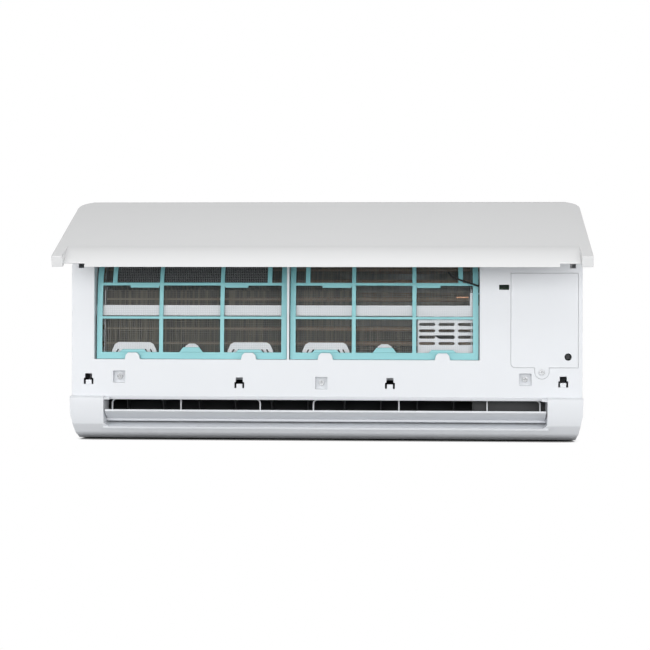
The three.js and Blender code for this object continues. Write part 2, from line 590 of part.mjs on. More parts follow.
function frontPanel() {
  const bulk = sectionAlongX([[LIP_DEPTH, PANEL_TOP], [DEPTH - 1.5, PANEL_TOP], [DEPTH, PANEL_TOP - 1.5],
    [DEPTH, PANEL_BOTTOM], [LIP_DEPTH, PANEL_BOTTOM]], -HALF, HALF);
  const chin = sectionAlongX([[DEPTH + 1, CREASE_Z], [DEPTH, CREASE_Z], [LIP_DEPTH, PANEL_BOTTOM],
    [LIP_DEPTH, PANEL_BOTTOM - 1], [DEPTH + 1, PANEL_BOTTOM - 1]], -HALF + HOOK_WIDTH, HALF - HOOK_WIDTH);
  const hollow = sectionAlongX([[LIP_DEPTH - 9, PANEL_TOP - PANEL_WALL], [DEPTH - PANEL_WALL, PANEL_TOP - PANEL_WALL],
    [DEPTH - PANEL_WALL, CREASE_Z - 1], [LIP_DEPTH - PANEL_WALL + 0.6, PANEL_BOTTOM], [LIP_DEPTH - 9, PANEL_BOTTOM]],
  -HALF + PANEL_WALL, HALF - PANEL_WALL);
  const face = outlineAlongDepth(panelOutline(0), LIP_DEPTH - 9, DEPTH + 9);
  const inside = outlineAlongDepth(panelOutline(PANEL_WALL), LIP_DEPTH - 9, DEPTH + 9);
  const notches = [-1, 1].map((side) => block(Math.min(side * NOTCH.from, side * NOTCH.to),
    Math.max(side * NOTCH.from, side * NOTCH.to), LIP_DEPTH - 9, DEPTH + 9, PANEL_BOTTOM - 1, PANEL_BOTTOM + NOTCH.height));
  let panel = cut(bulk, chin, ...notches).intersect(face);
  panel = cut(panel, hollow.intersect(inside));
  panel = cut(panel, rod('x', -HALF - 1, HALF + 1, [HINGE_DEPTH, HINGE_Z], PANEL_RELIEF, 48));
  const hooks = LATCHES.map(({ x, z }) => join(
    block(x - 2.5, x + 2.5, FRAME_INNER + 1.4, hookRoot(z) + 1, z + 0.6, z + 3),
    block(x - 2.5, x + 2.5, FRAME_INNER + 1.4, FRAME_INNER + 3.4, z - 0.9, z + 1)));
  const pads = ARM_XS.map((x) => block(x - 7, x + 7, DEPTH - 6, DEPTH - 1, HINGE_Z - 22, HINGE_Z + 6));
  return join(panel, ...hooks, ...pads);
}

// Depth of the panel's inner face at a height.
function hookRoot(z) {
  const along = (z - PANEL_BOTTOM) / CHIN_HEIGHT;
  return along < 1 ? LIP_DEPTH + CHIN_SETBACK * along - PANEL_WALL + 1 : DEPTH - PANEL_WALL;
}

function panelArm(x) {
  const half = ARM_THICKNESS / 2;
  const bar = sectionAlongX([...arc([HINGE_DEPTH, HINGE_Z], 6.5, 90, 270, 8),
    [DEPTH - 6 - SEAT, HINGE_Z - 6.5], [DEPTH - 6 - SEAT, HINGE_Z + 4], [DEPTH - 14, HINGE_Z + 4],
    [HINGE_DEPTH + 30, HINGE_Z + 6.5]], x - half, x + half);
  const inward = -Math.sign(x);
  const ends = [x, x + inward * (ARM_SLOT_WIDTH / 2 + 4.5)].sort((a, b) => a - b);
  return join(bar, rod('x', ends[0], ends[1], [HINGE_DEPTH, HINGE_Z], ARM_PIN_RADIUS, 16));
}

// ---- air filters ----
const FILTER_TOP_Z = TOP - 22;
const FILTER_PATH = [[DEPTH - 25, LEDGE_Z + SEAT], [DEPTH - 27, BOTTOM + 171], [DEPTH - 33, BOTTOM + 220],
  [DEPTH - 37, TOP - 58], [DEPTH - 46, TOP - 40], [DEPTH - 62, TOP - 28], [DEPTH - 80, FILTER_TOP_Z],
  [58, FILTER_TOP_Z]];
const BAR_HEIGHTS = [{ z: BOTTOM + 171, half: 1.8 }, { z: BOTTOM + 218.8, half: 2.1 }, { z: TOP - 37, half: 3 }];
const TOP_BAR_DEPTHS = [96, 78];

function filterCells(columns) {
  const rows = [LEDGE_Z + FILTER_SILL_BORDER, ...BAR_HEIGHTS.flatMap(({ z, half }) => [z - half, z + half])].slice(0, -1);
  const cells = [];
  for (let c = 0; c < columns.length; c += 1) {
    const [left, right] = columns[c];
    for (let r = 0; r < rows.length; r += 2) {
      cells.push(block(left, right, 100, DEPTH, rows[r], rows[r + 1]));
    }
    const [front, middle] = TOP_BAR_DEPTHS;
    cells.push(block(left, right, front + 3, DEPTH - 66, TOP - 33, TOP - 9));
    cells.push(block(left, right, middle + 3, front - 3, TOP - 33, TOP - 9));
    cells.push(block(left, right, 64, middle - 3, TOP - 33, TOP - 9));
  }
  return cells;
}

function filterColumns(x0, x1) {
  const inner = (x1 - x0) - 2 * FILTER_BORDER;
  const width = (inner - 2 * FILTER_BAR) / 3;
  return [0, 1, 2].map((i) => {
    const left = x0 + FILTER_BORDER + i * (width + FILTER_BAR);
    return [left, left + width];
  });
}

function filterFrame(x0, x1) {
  const sheet = band(FILTER_PATH, FILTER_THICKNESS, x0, x1);
  const columns = filterColumns(x0, x1);
  const narrow = [x0 + 21.5, x1 - 28].map((x) => block(x, x + 6.5, 90, DEPTH, BOTTOM + 219, TOP - 36));
  const tabs = [columns[0][1] - 42, columns[0][1] - 1, columns[2][0] + 1, columns[2][0] + 34];
  const lugs = [tabs.slice(0, 2), tabs.slice(2)].map(([a, b]) => block(Math.min(a, b), Math.max(a, b),
    90, DEPTH, BOTTOM + 213.6, BOTTOM + 218));
  const openings = cut(join(...filterCells(columns)), ...narrow, ...lugs);
  return join(cut(sheet, openings), ...sillShapes(x0, x1));
}

// Humps along the sill border: an arch over each tongue of the frame and a finger hump between them.
function sillShapes(x0, x1) {
  const arches = TONGUES.filter((x) => x > x0 && x < x1).map((x) => [x, 17, 5]);
  const humps = SILL_BACKINGS.filter(({ x, half }) => half < 20 && x > x0 && x < x1).map(({ x }) => [x, 13.5, 8]);
  const base = LEDGE_Z + FILTER_SILL_BORDER - 1;
  return [...arches, ...humps].map(([x, half, rise]) => outlineAlongDepth([[x - half - 4, base], [x + half + 4, base],
    [x + half - 2, base + rise], [x - half + 2, base + rise]], DEPTH - 27.2, DEPTH - 25.4));
}

// Net behind the filter frame, with an even grid of openings.
function filterNet(x0, x1) {
  const line = offsetLine(FILTER_PATH, FILTER_THICKNESS + SEAT).slice(0, -1);
  const low = LEDGE_Z + 4;
  const sheet = band(line, NET_THICKNESS, x0 + 3, x1 - 3);
  const openings = [];
  const rows = [low + 4, low + 30, low + 55.5, low + 81, low + 106, TOP - 39];
  const pitch = (x1 - x0 - 2 * FILTER_BORDER) / NET_COLUMNS;
  for (let c = 0; c < NET_COLUMNS; c += 1) {
    const x = x0 + FILTER_BORDER + pitch * c;
    for (let r = 0; r + 1 < rows.length; r += 1) {
      openings.push(block(x, x + pitch - NET_STRAND, 110, DEPTH, rows[r], rows[r + 1] - NET_STRAND));
    }
  }
  return cut(sheet, join(...openings));
}

function deodoriser(x0, x1) {
  const line = offsetLine(FILTER_PATH.slice(2, 5), FILTER_THICKNESS + NET_THICKNESS + 2.4 * SEAT);
  return band(line, 2.6, x0 + 28, x1 - 28);
}

// ---- coil ----
const SLABS = [
  { name: 'front_lower', from: [DEPTH - 61.5, FAN_Z - 16], lean: 4, length: 108, rows: 5 },
  { name: 'front_upper', from: [DEPTH - 68.5, FAN_Z + 94.5], lean: 27, length: 34, rows: 2 },
  { name: 'rear', from: [DEPTH - 85.1, FAN_Z + 124.5], lean: 143, length: 66, rows: 3 }
];

// A slab's frame: u runs along the slab from its inner lower corner, v points out of the unit.
function slabPoint(slab, u, v) {
  const lean = THREE.MathUtils.degToRad(slab.lean);
  const along = [-Math.sin(lean), Math.cos(lean)];
  const out = [Math.cos(lean), Math.sin(lean)];
  return [slab.from[0] + along[0] * u + out[0] * v, slab.from[1] + along[1] * u + out[1] * v];
}

function slabSection(slab, grow = 0) {
  const corners = [[-grow, -grow], [slab.length + grow, -grow], [slab.length + grow, COIL_THICKNESS + grow],
    [-grow, COIL_THICKNESS + grow]];
  return corners.map(([u, v]) => slabPoint(slab, u, v));
}

function tubeCentres(slab) {
  const start = (slab.length - TUBE_PITCH * (slab.rows - 1)) / 2;
  return Array.from({ length: slab.rows }, (_, i) => slabPoint(slab, start + TUBE_PITCH * i, COIL_THICKNESS / 2));
}

function coilSlab(slab) {
  const block = sectionAlongX(slabSection(slab), COIL_LEFT + 3, COIL_RIGHT - 3);
  return cut(block, ...tubeCentres(slab).map((c) => rod('x', COIL_LEFT - 9, COIL_RIGHT + 9, c, TUBE_RADIUS + SEAT, 8)));
}

function coilTubes(slab) {
  const centres = tubeCentres(slab);
  const rods = centres.map((c) => rod('x', COIL_LEFT - 1, COIL_RIGHT + 1, c, TUBE_RADIUS, 8));
  const bends = [];
  for (let i = 0; i + 1 < centres.length; i += 1) {
    const x = i % 2 === 0 ? COIL_LEFT - 0.9 : COIL_RIGHT + 0.9;
    const reach = i % 2 === 0 ? -1 : 1;
    const [a, b] = [centres[i], centres[i + 1]];
    const run = [];
    for (let s = 0; s <= 4; s += 1) {
      const angle = Math.PI * s / 4;
      const t = (1 - Math.cos(angle)) / 2;
      run.push(at(x + reach * 7 * Math.sin(angle), a[0] + (b[0] - a[0]) * t, a[1] + (b[1] - a[1]) * t));
    }
    bends.push(tube(run, TUBE_RADIUS, 5, 3));
  }
  return join(...rods, ...bends);
}

function coilEndPlate(x0, x1) {
  const slabs = SLABS.map((slab) => sectionAlongX(slabSection(slab, 0.9), x0, x1));
  const holes = SLABS.flatMap((slab) => tubeCentres(slab).map((c) => rod('x', x0 - 1, x1 + 1, c, TUBE_RADIUS + SEAT, 8)));
  const bridges = [[SLABS[0], SLABS[1]], [SLABS[1], SLABS[2]]].map(([a, b]) => sectionAlongX([
    slabPoint(a, a.length - 6, 2), slabPoint(a, a.length - 6, 12), slabPoint(b, 6, 12), slabPoint(b, 6, 2)], x0, x1));
  return cut(join(...slabs, ...bridges), ...holes);
}

// ---- fan ----
function crossFlowFan() {
  const [left, right] = [DUCT_LEFT + 3, DUCT_RIGHT - 3];
  const centre = [FAN_DEPTH, FAN_Z];
  const disc = (x, hole) => cut(rod('x', x, x + 2, centre, FAN_RADIUS, 24), rod('x', x - 1, x + 3, centre, hole, 12));
  const section = (right - 2 - left) / FAN_SECTIONS;
  const parts = [];
  for (let i = 0; i <= FAN_SECTIONS; i += 1) {
    const x = left + section * i;
    parts.push(i === 0 || i === FAN_SECTIONS ? rod('x', x, x + 2, centre, FAN_RADIUS, 24) : disc(x, FAN_RADIUS - 14));
  }
  const blade = (angle) => {
    const turn = new THREE.Vector2();
    const points = [[FAN_RADIUS - 12, -2], [FAN_RADIUS - 5.5, 0.6], [FAN_RADIUS - 1.5, 4.6], [FAN_RADIUS - 7, 1.6]];
    return sectionAlongX(points.map(([r, s]) => {
      turn.set(r, s).rotateAround(new THREE.Vector2(), angle);
      return [FAN_DEPTH + turn.x, FAN_Z + turn.y];
    }), left + 1, right - 1);
  };
  for (let i = 0; i < FAN_BLADES; i += 1) {
    parts.push(blade(2 * Math.PI * i / FAN_BLADES));
  }
  const stub = rod('x', left - 12, left + 1, centre, SHAFT_RADIUS, 16);
  const drive = rod('x', right - 1, right + 8, centre, 9, 16);
  return cut(join(...parts, stub, drive), rod('x', right - 12, right + 9, centre, SHAFT_RADIUS, 16));
}

const MOTOR = { left: DUCT_RIGHT + 12, right: DUCT_RIGHT + 76, radius: 40 };

function fanMotor() {
  const centre = [FAN_DEPTH, FAN_Z];
  return join(rod('x', MOTOR.left, MOTOR.right, centre, MOTOR.radius, 24),
    rod('x', MOTOR.left - 6, MOTOR.left + 1, centre, 15, 16),
    rod('x', MOTOR.right - 1, MOTOR.right + 5, centre, 12, 16));
}

function motorClamp() {
  const centre = [FAN_DEPTH, FAN_Z];
  const [x0, x1] = [MOTOR.left + 14, MOTOR.right - 14];
  const outer = rod('x', x0, x1, centre, MOTOR.radius + SEAT + 4, 24);
  const foot = block(x0, x1, REAR_WALL_FRONT + SEAT, FAN_DEPTH - MOTOR.radius + 6, FAN_Z - 34, FAN_Z + 34);
  return cut(join(outer, foot), rod('x', x0 - 1, x1 + 1, centre, MOTOR.radius + SEAT, 24));
}

// ---- carcass ----
const REAR_WALL_BACK = 3;
const REAR_WALL = 2.5;
const REAR_WALL_FRONT = REAR_WALL_BACK + REAR_WALL;
const REAR_EDGE = HALF - SHELL - SLIDE;
const CHANNEL = { top: BOTTOM + 52, depth: 40 };
const PIPE_X = DUCT_RIGHT + 10;

function rearCasing() {
  const bottom = BOTTOM + 0.6;
  const line = [[44, TOP - SHELL - SEAT - REAR_WALL], [REAR_WALL_BACK, TOP - SHELL - SEAT - REAR_WALL],
    [REAR_WALL_BACK, CHANNEL.top], [CHANNEL.depth, CHANNEL.top], [CHANNEL.depth, bottom], [47, bottom]];
  const skin = sectionAlongX([...line, ...offsetLine(line, REAR_WALL).reverse()], -REAR_EDGE, REAR_EDGE);
  const side = [[REAR_WALL_BACK, TOP - SHELL - SEAT - REAR_WALL], [56, TOP - SHELL - SEAT - REAR_WALL],
    [56, SEAM_Z + 1], [47.5, SEAM_Z + 1], [47.5, bottom], [CHANNEL.depth, bottom],
    [CHANNEL.depth, CHANNEL.top], [REAR_WALL_BACK, CHANNEL.top]];
  const rail = sectionAlongX([[REAR_WALL_BACK + 1, FAN_Z + 4], [FAN_DEPTH - SCROLL_RADIUS - DUCT_WALL - SEAT, FAN_Z + 4],
    [FAN_DEPTH - SCROLL_RADIUS - DUCT_WALL - SEAT, FAN_Z - 4], [REAR_WALL_BACK + 1, FAN_Z - 4]],
  DUCT_LEFT, DUCT_RIGHT - 8);
  const bracket = block(DUCT_LEFT - 30, DUCT_LEFT - 26, REAR_WALL_BACK + 1, FAN_DEPTH + 12, FAN_Z - 16, FAN_Z + 16);
  const casing = join(skin, sectionAlongX(side, -REAR_EDGE, -REAR_EDGE + REAR_WALL),
    sectionAlongX(side, REAR_EDGE - REAR_WALL, REAR_EDGE), rail, bracket);
  return cut(casing, block(PIPE_X - 13, PIPE_X + 13, 9, 34, CHANNEL.top - 9, CHANNEL.top + 9),
    rod('x', DUCT_LEFT - 31, DUCT_LEFT - 25, [FAN_DEPTH, FAN_Z], 7, 12),
    ...[-1, 1].map((side) => block(side * 180 - 9, side * 180 + 9, 0, REAR_WALL_FRONT + 1,
      TOP - 34, TOP - 22)));
}

function wallPlate() {
  const outline = [[-HALF + 60, BOTTOM + 70], [HALF - 60, BOTTOM + 70], [HALF - 60, TOP - 20], [-HALF + 60, TOP - 20]];
  const holes = [];
  for (const x of [-240, -160, -80, 80, 160, 240]) {
    for (const z of [TOP - 60, TOP - 104]) {
      holes.push(roundSlot(x - 9, x + 9, z, 5, 2).map(([a, b]) => [a * WIDTH / 720, b]));
    }
  }
  const plate = outlineAlongDepth(outline, 0, 1.5, holes);
  const hooks = [-1, 1].flatMap((side) => [
    block(side * 180 - 6, side * 180 + 6, 1.4, REAR_WALL_FRONT + SEAT + 1.5, TOP - 32, TOP - 30.5),
    block(side * 180 - 6, side * 180 + 6, REAR_WALL_FRONT + SEAT, REAR_WALL_FRONT + SEAT + 1.5, TOP - 32, TOP - 18)]);
  return join(plate, ...hooks);
}

function drainPan() {
  const [x0, x1] = [COIL_LEFT - 4, COIL_RIGHT + 3];
  const back = FAN_DEPTH + 45.2;
  const front = DEPTH - 31;
  const top = FAN_Z - 16 - SEAT;
  const floor = FAN_Z - 34;
  let pan = cut(block(x0, x1, back, front, floor, top + 4), block(x0 + 2, x1 - 2, back + 2, front - 2, floor + 2, top + 9),
    block(x0 - 1, x1 + 1, back - 1, back + 10, top, top + 9));
  const rails = [x0 + 40, (x0 + x1) / 2, x1 - 40].map((x) => block(x - 1.5, x + 1.5, back + 1, front - 1, floor + 1, top));
  pan = join(pan, ...rails);
  const bosses = WELLS.slice(0, 2).map(({ x, z }) => rod('depth', front - 1.5, FRAME_FRONT - WELL_DEPTH - THIN - SEAT,
    [x, z], 4.6, 12));
  pan = join(pan, ...bosses);
  pan = cut(pan, ...WELLS.slice(0, 2).map(({ x, z }) => rod('depth', front - 5, DEPTH, [x, z], 2.1, 12)));
  const spout = cut(rod('x', x0 - 16, x0 + 1, [back + 12, floor + 7], 6, 16),
    rod('x', x0 - 17, x0 + 3, [back + 12, floor + 7], 4, 16));
  return cut(join(pan, spout), rod('x', x0 - 17, x0 + 3, [back + 12, floor + 7], 4, 16));
}

// Pipe from the coil's end, down behind the motor and along the channel in the casing's back.
function backPipe(radius, start, down, runZ, endX) {
  const [startDepth, startZ] = start;
  const elbow = rod('x', COIL_RIGHT + 1 + SEAT, down, start, radius, 8);
  const route = [at(down, startDepth + 1, startZ), at(down, startDepth - 6, startZ - 1),
    at(down, startDepth - 18, startZ - 9), at(down, 21, startZ - 26), at(down, 20, startZ - 60),
    at(down, 20, CHANNEL.top + 16), at(down, 20, runZ + 22), at(down - 7, 20, runZ + 5), at(down - 24, 20, runZ),
    at(down - 60, 20, runZ), at(endX + 120, 20, runZ), at(endX, 20, runZ)];
  return join(elbow, tube(route, radius, 24, 4));
}

const GAS = { radius: 4.76, run: BOTTOM + 32, end: -60 };
const LIQUID = { radius: 3.18, run: BOTTOM + 14, end: -90 };

function flareNut(radius, run, end) {
  const flats = radius + 5;
  const nut = cut(rod('x', end + 2, end + 20, [20, run], flats, 6), rod('x', end + 1, end + 21, [20, run], radius + SEAT, 16));
  return nut;
}

const BOX = { left: WINDOW_RIGHT + 10, right: HALF - 8, back: FAN_DEPTH + MOTOR.radius + 4 + 2 * SEAT, front: FRAME_INNER - 4,
  bottom: BOTTOM + 108, top: HINGE_Z - 16 };

function electricalBox() {
  const { left, right, back, front, bottom, top } = BOX;
  const shell = cut(block(left, right, back, front, bottom, top), block(left + 2, right - 2, back + 2, front + 1, bottom + 2,
    top - 2));
  const posts = [[left + 16, bottom + 16], [right - 16, bottom + 16], [left + 16, top - 16], [right - 16, top - 16]]
    .map(([x, z]) => rod('depth', back + 1, back + 8, [x, z], 3, 8));
  const foot = block(left + 20, left + 50, REAR_WALL_FRONT + SEAT, back + 1, top - 26, top - 22);
  return cut(join(shell, ...posts, foot), block(left - 1, left + 3, front - 14, front + 1, bottom + 60, bottom + 74));
}

function controlBoard() {
  const { left, right, back, bottom, top } = BOX;
  const face = back + 8 + SEAT;
  const board = block(left + 8, right - 8, face, face + 1.6, bottom + 8, top - 8);
  const onBoard = (x0, x1, z0, z1, height) => block(left + x0, left + x1, face + 1.5, face + height, bottom + z0,
    bottom + z1);
  const relays = [0, 1, 2].map((i) => onBoard(84, 103, 62 + 14 * i, 73 + 14 * i, 17));
  const capacitor = rod('depth', face + 1.5, face + 26, [left + 28, bottom + 92], 10, 16);
  const switchBody = block(BUTTON.x - 5, BUTTON.x + 5, face + 1.5, face + 16, BUTTON.z - 5, BUTTON.z + 5);
  const socket = cut(switchBody, rod('depth', face + 9, face + 17, [BUTTON.x, BUTTON.z], 2.6, 12));
  return join(board, ...relays, capacitor, onBoard(16, 52, 52, 76, 20), onBoard(60, 74, 14, 22, 8), socket);
}

function terminalBlock() {
  const { left, back, bottom } = BOX;
  const face = back + 9.6 + 2 * SEAT;
  const body = block(left + 20, left + 54, face, face + 18, bottom + 12, bottom + 40);
  const bays = [0, 1, 2, 3].map((i) => block(left + 22 + 8 * i, left + 28 + 8 * i, face + 12, face + 19, bottom + 15,
    bottom + 37));
  return cut(body, ...bays);
}

function manualButton() {
  const face = BOX.back + 8 + SEAT;
  return join(rod('depth', face + 12, FRAME_INNER - 2, [BUTTON.x, BUTTON.z], 2.2, 12),
    rod('depth', FRAME_INNER - 6, FRAME_INNER - 2, [BUTTON.x, BUTTON.z], 3.6, 16));
}

function electricalCover() {
  const depth0 = FRAME_FRONT - COVER_THICKNESS;
  return cut(outlineAlongDepth(coverOutline(0), depth0, FRAME_FRONT),
    rod('depth', depth0 - 1, FRAME_FRONT + 1, [BUTTON.x, BUTTON.z], BUTTON.radius, 20),
    rod('depth', depth0 - 1, FRAME_FRONT + 1, [COVER.tab, COVER.bottom - 6.5], 2.2, 12));
}

function screw(x, z, seat, length) {
  const head = rod('depth', seat + SEAT, seat + SEAT + 2.2, [x, z], 3.9, 16);
  const shank = rod('depth', seat - length, seat + SEAT + 0.5, [x, z], 1.7, 10);
  const cross = [block(x - 2.2, x + 2.2, seat + 1.5, seat + 4, z - 0.5, z + 0.5),
    block(x - 0.5, x + 0.5, seat + 1.5, seat + 4, z - 2.2, z + 2.2)];
  return cut(join(head, shank), ...cross);
}

function topGrille() {
  const { left, right, back, front } = GRILLE;
  const [x0, x1] = [left + SEAT, right - SEAT];
  const z = TOP - 4;
  const ring = cut(block(x0, x1, back + SEAT, front - SEAT, z, TOP - 0.5), block(x0 + 5, x1 - 5, back + 5, front - 5,
    z - 1, TOP + 1));
  const slats = [];
  for (let depth = back + 16; depth < front - 8; depth += 13) {
    slats.push(block(x0 + 4, x1 - 4, depth, depth + 1.6, z, TOP - 0.6));
  }
  const ribs = [1, 2, 3, 4].map((i) => {
    const x = x0 + (x1 - x0) * i / 5;
    return block(x - 1, x + 1, back + 3, front - 3, z + 0.7, TOP - 1.2);
  });
  return join(ring, ...slats, ...ribs);
}

function bearingHolder() {
  const x = DUCT_LEFT - 26 + SEAT;
  return cut(rod('x', x, x + 14, [FAN_DEPTH, FAN_Z], 15, 20), rod('x', x + 3, x + 15, [FAN_DEPTH, FAN_Z], 11 + SEAT, 20),
    rod('x', x - 1, x + 15, [FAN_DEPTH, FAN_Z], SHAFT_RADIUS + 2, 12));
}

function fanBearing() {
  const x = DUCT_LEFT - 23 + 2 * SEAT;
  return cut(rod('x', x, x + 12, [FAN_DEPTH, FAN_Z], 11, 20), rod('x', x - 1, x + 13, [FAN_DEPTH, FAN_Z], SHAFT_RADIUS + SEAT, 16));
}

function louverMotor() {
  const x = MOUTH_RIGHT + THIN + SEAT + 1.6;
  const body = rod('x', x, x + 15, LOUVER_PIVOT, 10, 20);
  const socket = rod('x', x - 1.6, x + 0.5, LOUVER_PIVOT, 5, 12);
  return cut(join(body, socket), rod('x', x - 3, x + 2, LOUVER_PIVOT, 3, 12));
}

function coilSensor() {
  const slab = SLABS[0];
  const centre = slabPoint(slab, 98, COIL_THICKNESS + 2.6 + SEAT);
  return join(rod('x', COIL_RIGHT - 22, COIL_RIGHT - 5, centre, 2.2, 12),
    rod('x', COIL_RIGHT - 9, COIL_RIGHT - 7, centre, 2.6, 12));
}

// Lead of the display, clipped along the frame in front of the right filter's top corner.
function displayLead() {
  const z = TOP - 74;
  return tube([at(WINDOW_RIGHT - 44, DEPTH - 21.5, z + 20), at(WINDOW_RIGHT - 38, DEPTH - 22, z + 13),
    at(WINDOW_RIGHT - 22, DEPTH - 21.6, z + 7), at(WINDOW_RIGHT - 8, DEPTH - 21.6, z + 2.5),
    at(WINDOW_RIGHT - 1.2, DEPTH - 21.6, z)], 1.4, 16, 4);
}

// ---- assembly ----
addPiece('wall_plate', 'steel', wallPlate());
addPiece('rear_casing', 'whiteInner', rearCasing());
addPiece('front_frame', 'whiteShell', frontFrame());
addPiece('top_grille', 'whiteShell', topGrille());
addPiece('outlet_duct', 'dark', outletDuct());
addPiece('drain_pan', 'foam', drainPan());
for (const slab of SLABS) {
  addPiece(`coil_${slab.name}`, 'fins', coilSlab(slab));
  addPiece(`coil_tubes_${slab.name}`, 'copper', coilTubes(slab));
}
addPiece('coil_end_plate_left', 'steel', coilEndPlate(COIL_LEFT, COIL_LEFT + 1.5));
addPiece('coil_end_plate_right', 'steel', coilEndPlate(COIL_RIGHT - 1.5, COIL_RIGHT));
addPiece('coil_sensor', 'copper', coilSensor());
addPiece('gas_pipe', 'copper', backPipe(GAS.radius, tubeCentres(SLABS[2])[0], PIPE_X - 4.5, GAS.run, GAS.end));
addPiece('gas_flare_nut', 'brass', flareNut(GAS.radius, GAS.run, GAS.end));
addPiece('liquid_pipe', 'copper', backPipe(LIQUID.radius, tubeCentres(SLABS[1])[1], PIPE_X + 4.5, LIQUID.run,
  LIQUID.end));
addPiece('liquid_flare_nut', 'brass', flareNut(LIQUID.radius, LIQUID.run, LIQUID.end));
addPiece('cross_flow_fan', 'dark', crossFlowFan());
addPiece('motor_shaft', 'steel', rod('x', DUCT_RIGHT - 8, MOTOR.left - 6 - SEAT, [FAN_DEPTH, FAN_Z], SHAFT_RADIUS - SEAT, 16));
addPiece('fan_motor', 'steel', fanMotor());
addPiece('motor_clamp', 'whiteInner', motorClamp());
addPiece('bearing_holder', 'whiteInner', bearingHolder());
addPiece('fan_bearing', 'rubber', fanBearing());
addPiece('electrical_box', 'whiteInner', electricalBox());
addPiece('control_board', 'board', controlBoard());
addPiece('terminal_block', 'whiteInner', terminalBlock());
addPiece('manual_button', 'dark', manualButton());
addPiece('electrical_cover', 'whiteShell', electricalCover());
addPiece('cover_screw', 'steel', screw(COVER.tab, COVER.bottom - 6.5, FRAME_FRONT, 9));
['left', 'middle', 'right'].forEach((side, i) => {
  addPiece(`frame_screw_${side}`, 'steel', screw(WELLS[i].x, WELLS[i].z, FRAME_FRONT - WELL_DEPTH, 7));
});
addPiece('display_lead', 'rubber', displayLead());
addPiece('louver_motor', 'whiteInner', louverMotor());
addPiece('louver', 'whiteShell', louver());
addPiece('outlet_guard_left', 'whiteInner', outletGuard(MOUTH_LEFT + 4.7, DIVIDER_X - 40.2, [MOUTH_LEFT + 104.4]));
addPiece('outlet_guard_right', 'whiteInner', outletGuard(DIVIDER_X + 33.9, MOUTH_RIGHT - 6.2,
  [MOUTH_RIGHT - 206.4, MOUTH_RIGHT - 81.7]));
VANE_XS.forEach((x, i) => {
  const side = i < VANES_PER_GROUP ? 'left' : 'right';
  addPiece(`vane_${side}_${i % VANES_PER_GROUP + 1}`, 'dark', vane(x));
});
addPiece('vane_link_left', 'dark', linkBar(0));
addPiece('vane_link_right', 'dark', linkBar(1));
const LEFT_FILTER = [WINDOW_LEFT + 1.8, DIVIDER_X - DIVIDER_WIDTH / 2 - SLIDE];
const RIGHT_FILTER = [DIVIDER_X + DIVIDER_WIDTH / 2 + SLIDE, WINDOW_RIGHT - 1.4];
addPiece('filter_frame_left', 'teal', filterFrame(...LEFT_FILTER));
addPiece('filter_frame_right', 'teal', filterFrame(...RIGHT_FILTER));
addPiece('filter_net_left', 'net', filterNet(...LEFT_FILTER));
addPiece('filter_net_right', 'net', filterNet(...RIGHT_FILTER));
addPiece('deodorising_filter', 'coal', deodoriser(...LEFT_FILTER));

// The panel and its arms turn about the pivot, which sits at the turning group's origin.
const turningPanel = new THREE.Group();
turningPanel.position.copy(at(0, HINGE_DEPTH, HINGE_Z));
turningPanel.rotation.x = -THREE.MathUtils.degToRad(PANEL_OPEN_ANGLE);
insidePanel.position.copy(at(0, HINGE_DEPTH, HINGE_Z)).negate();
turningPanel.add(insidePanel);
unitModel.add(turningPanel);
addPiece('front_panel', 'panelFace', frontPanel(), insidePanel);
addPiece('panel_arm_left', 'whiteInner', panelArm(ARM_XS[0]), insidePanel);
addPiece('panel_arm_right', 'whiteInner', panelArm(ARM_XS[1]), insidePanel);

export default unitModel;
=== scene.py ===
"""Looks for a wall air conditioner's indoor unit with its front panel raised."""

import json
from math import hypot, pi, radians

import bmesh
import bpy
from bpy.props import FloatProperty, FloatVectorProperty, PointerProperty
from mathutils import Matrix, Vector
from mathutils.geometry import convex_hull_2d

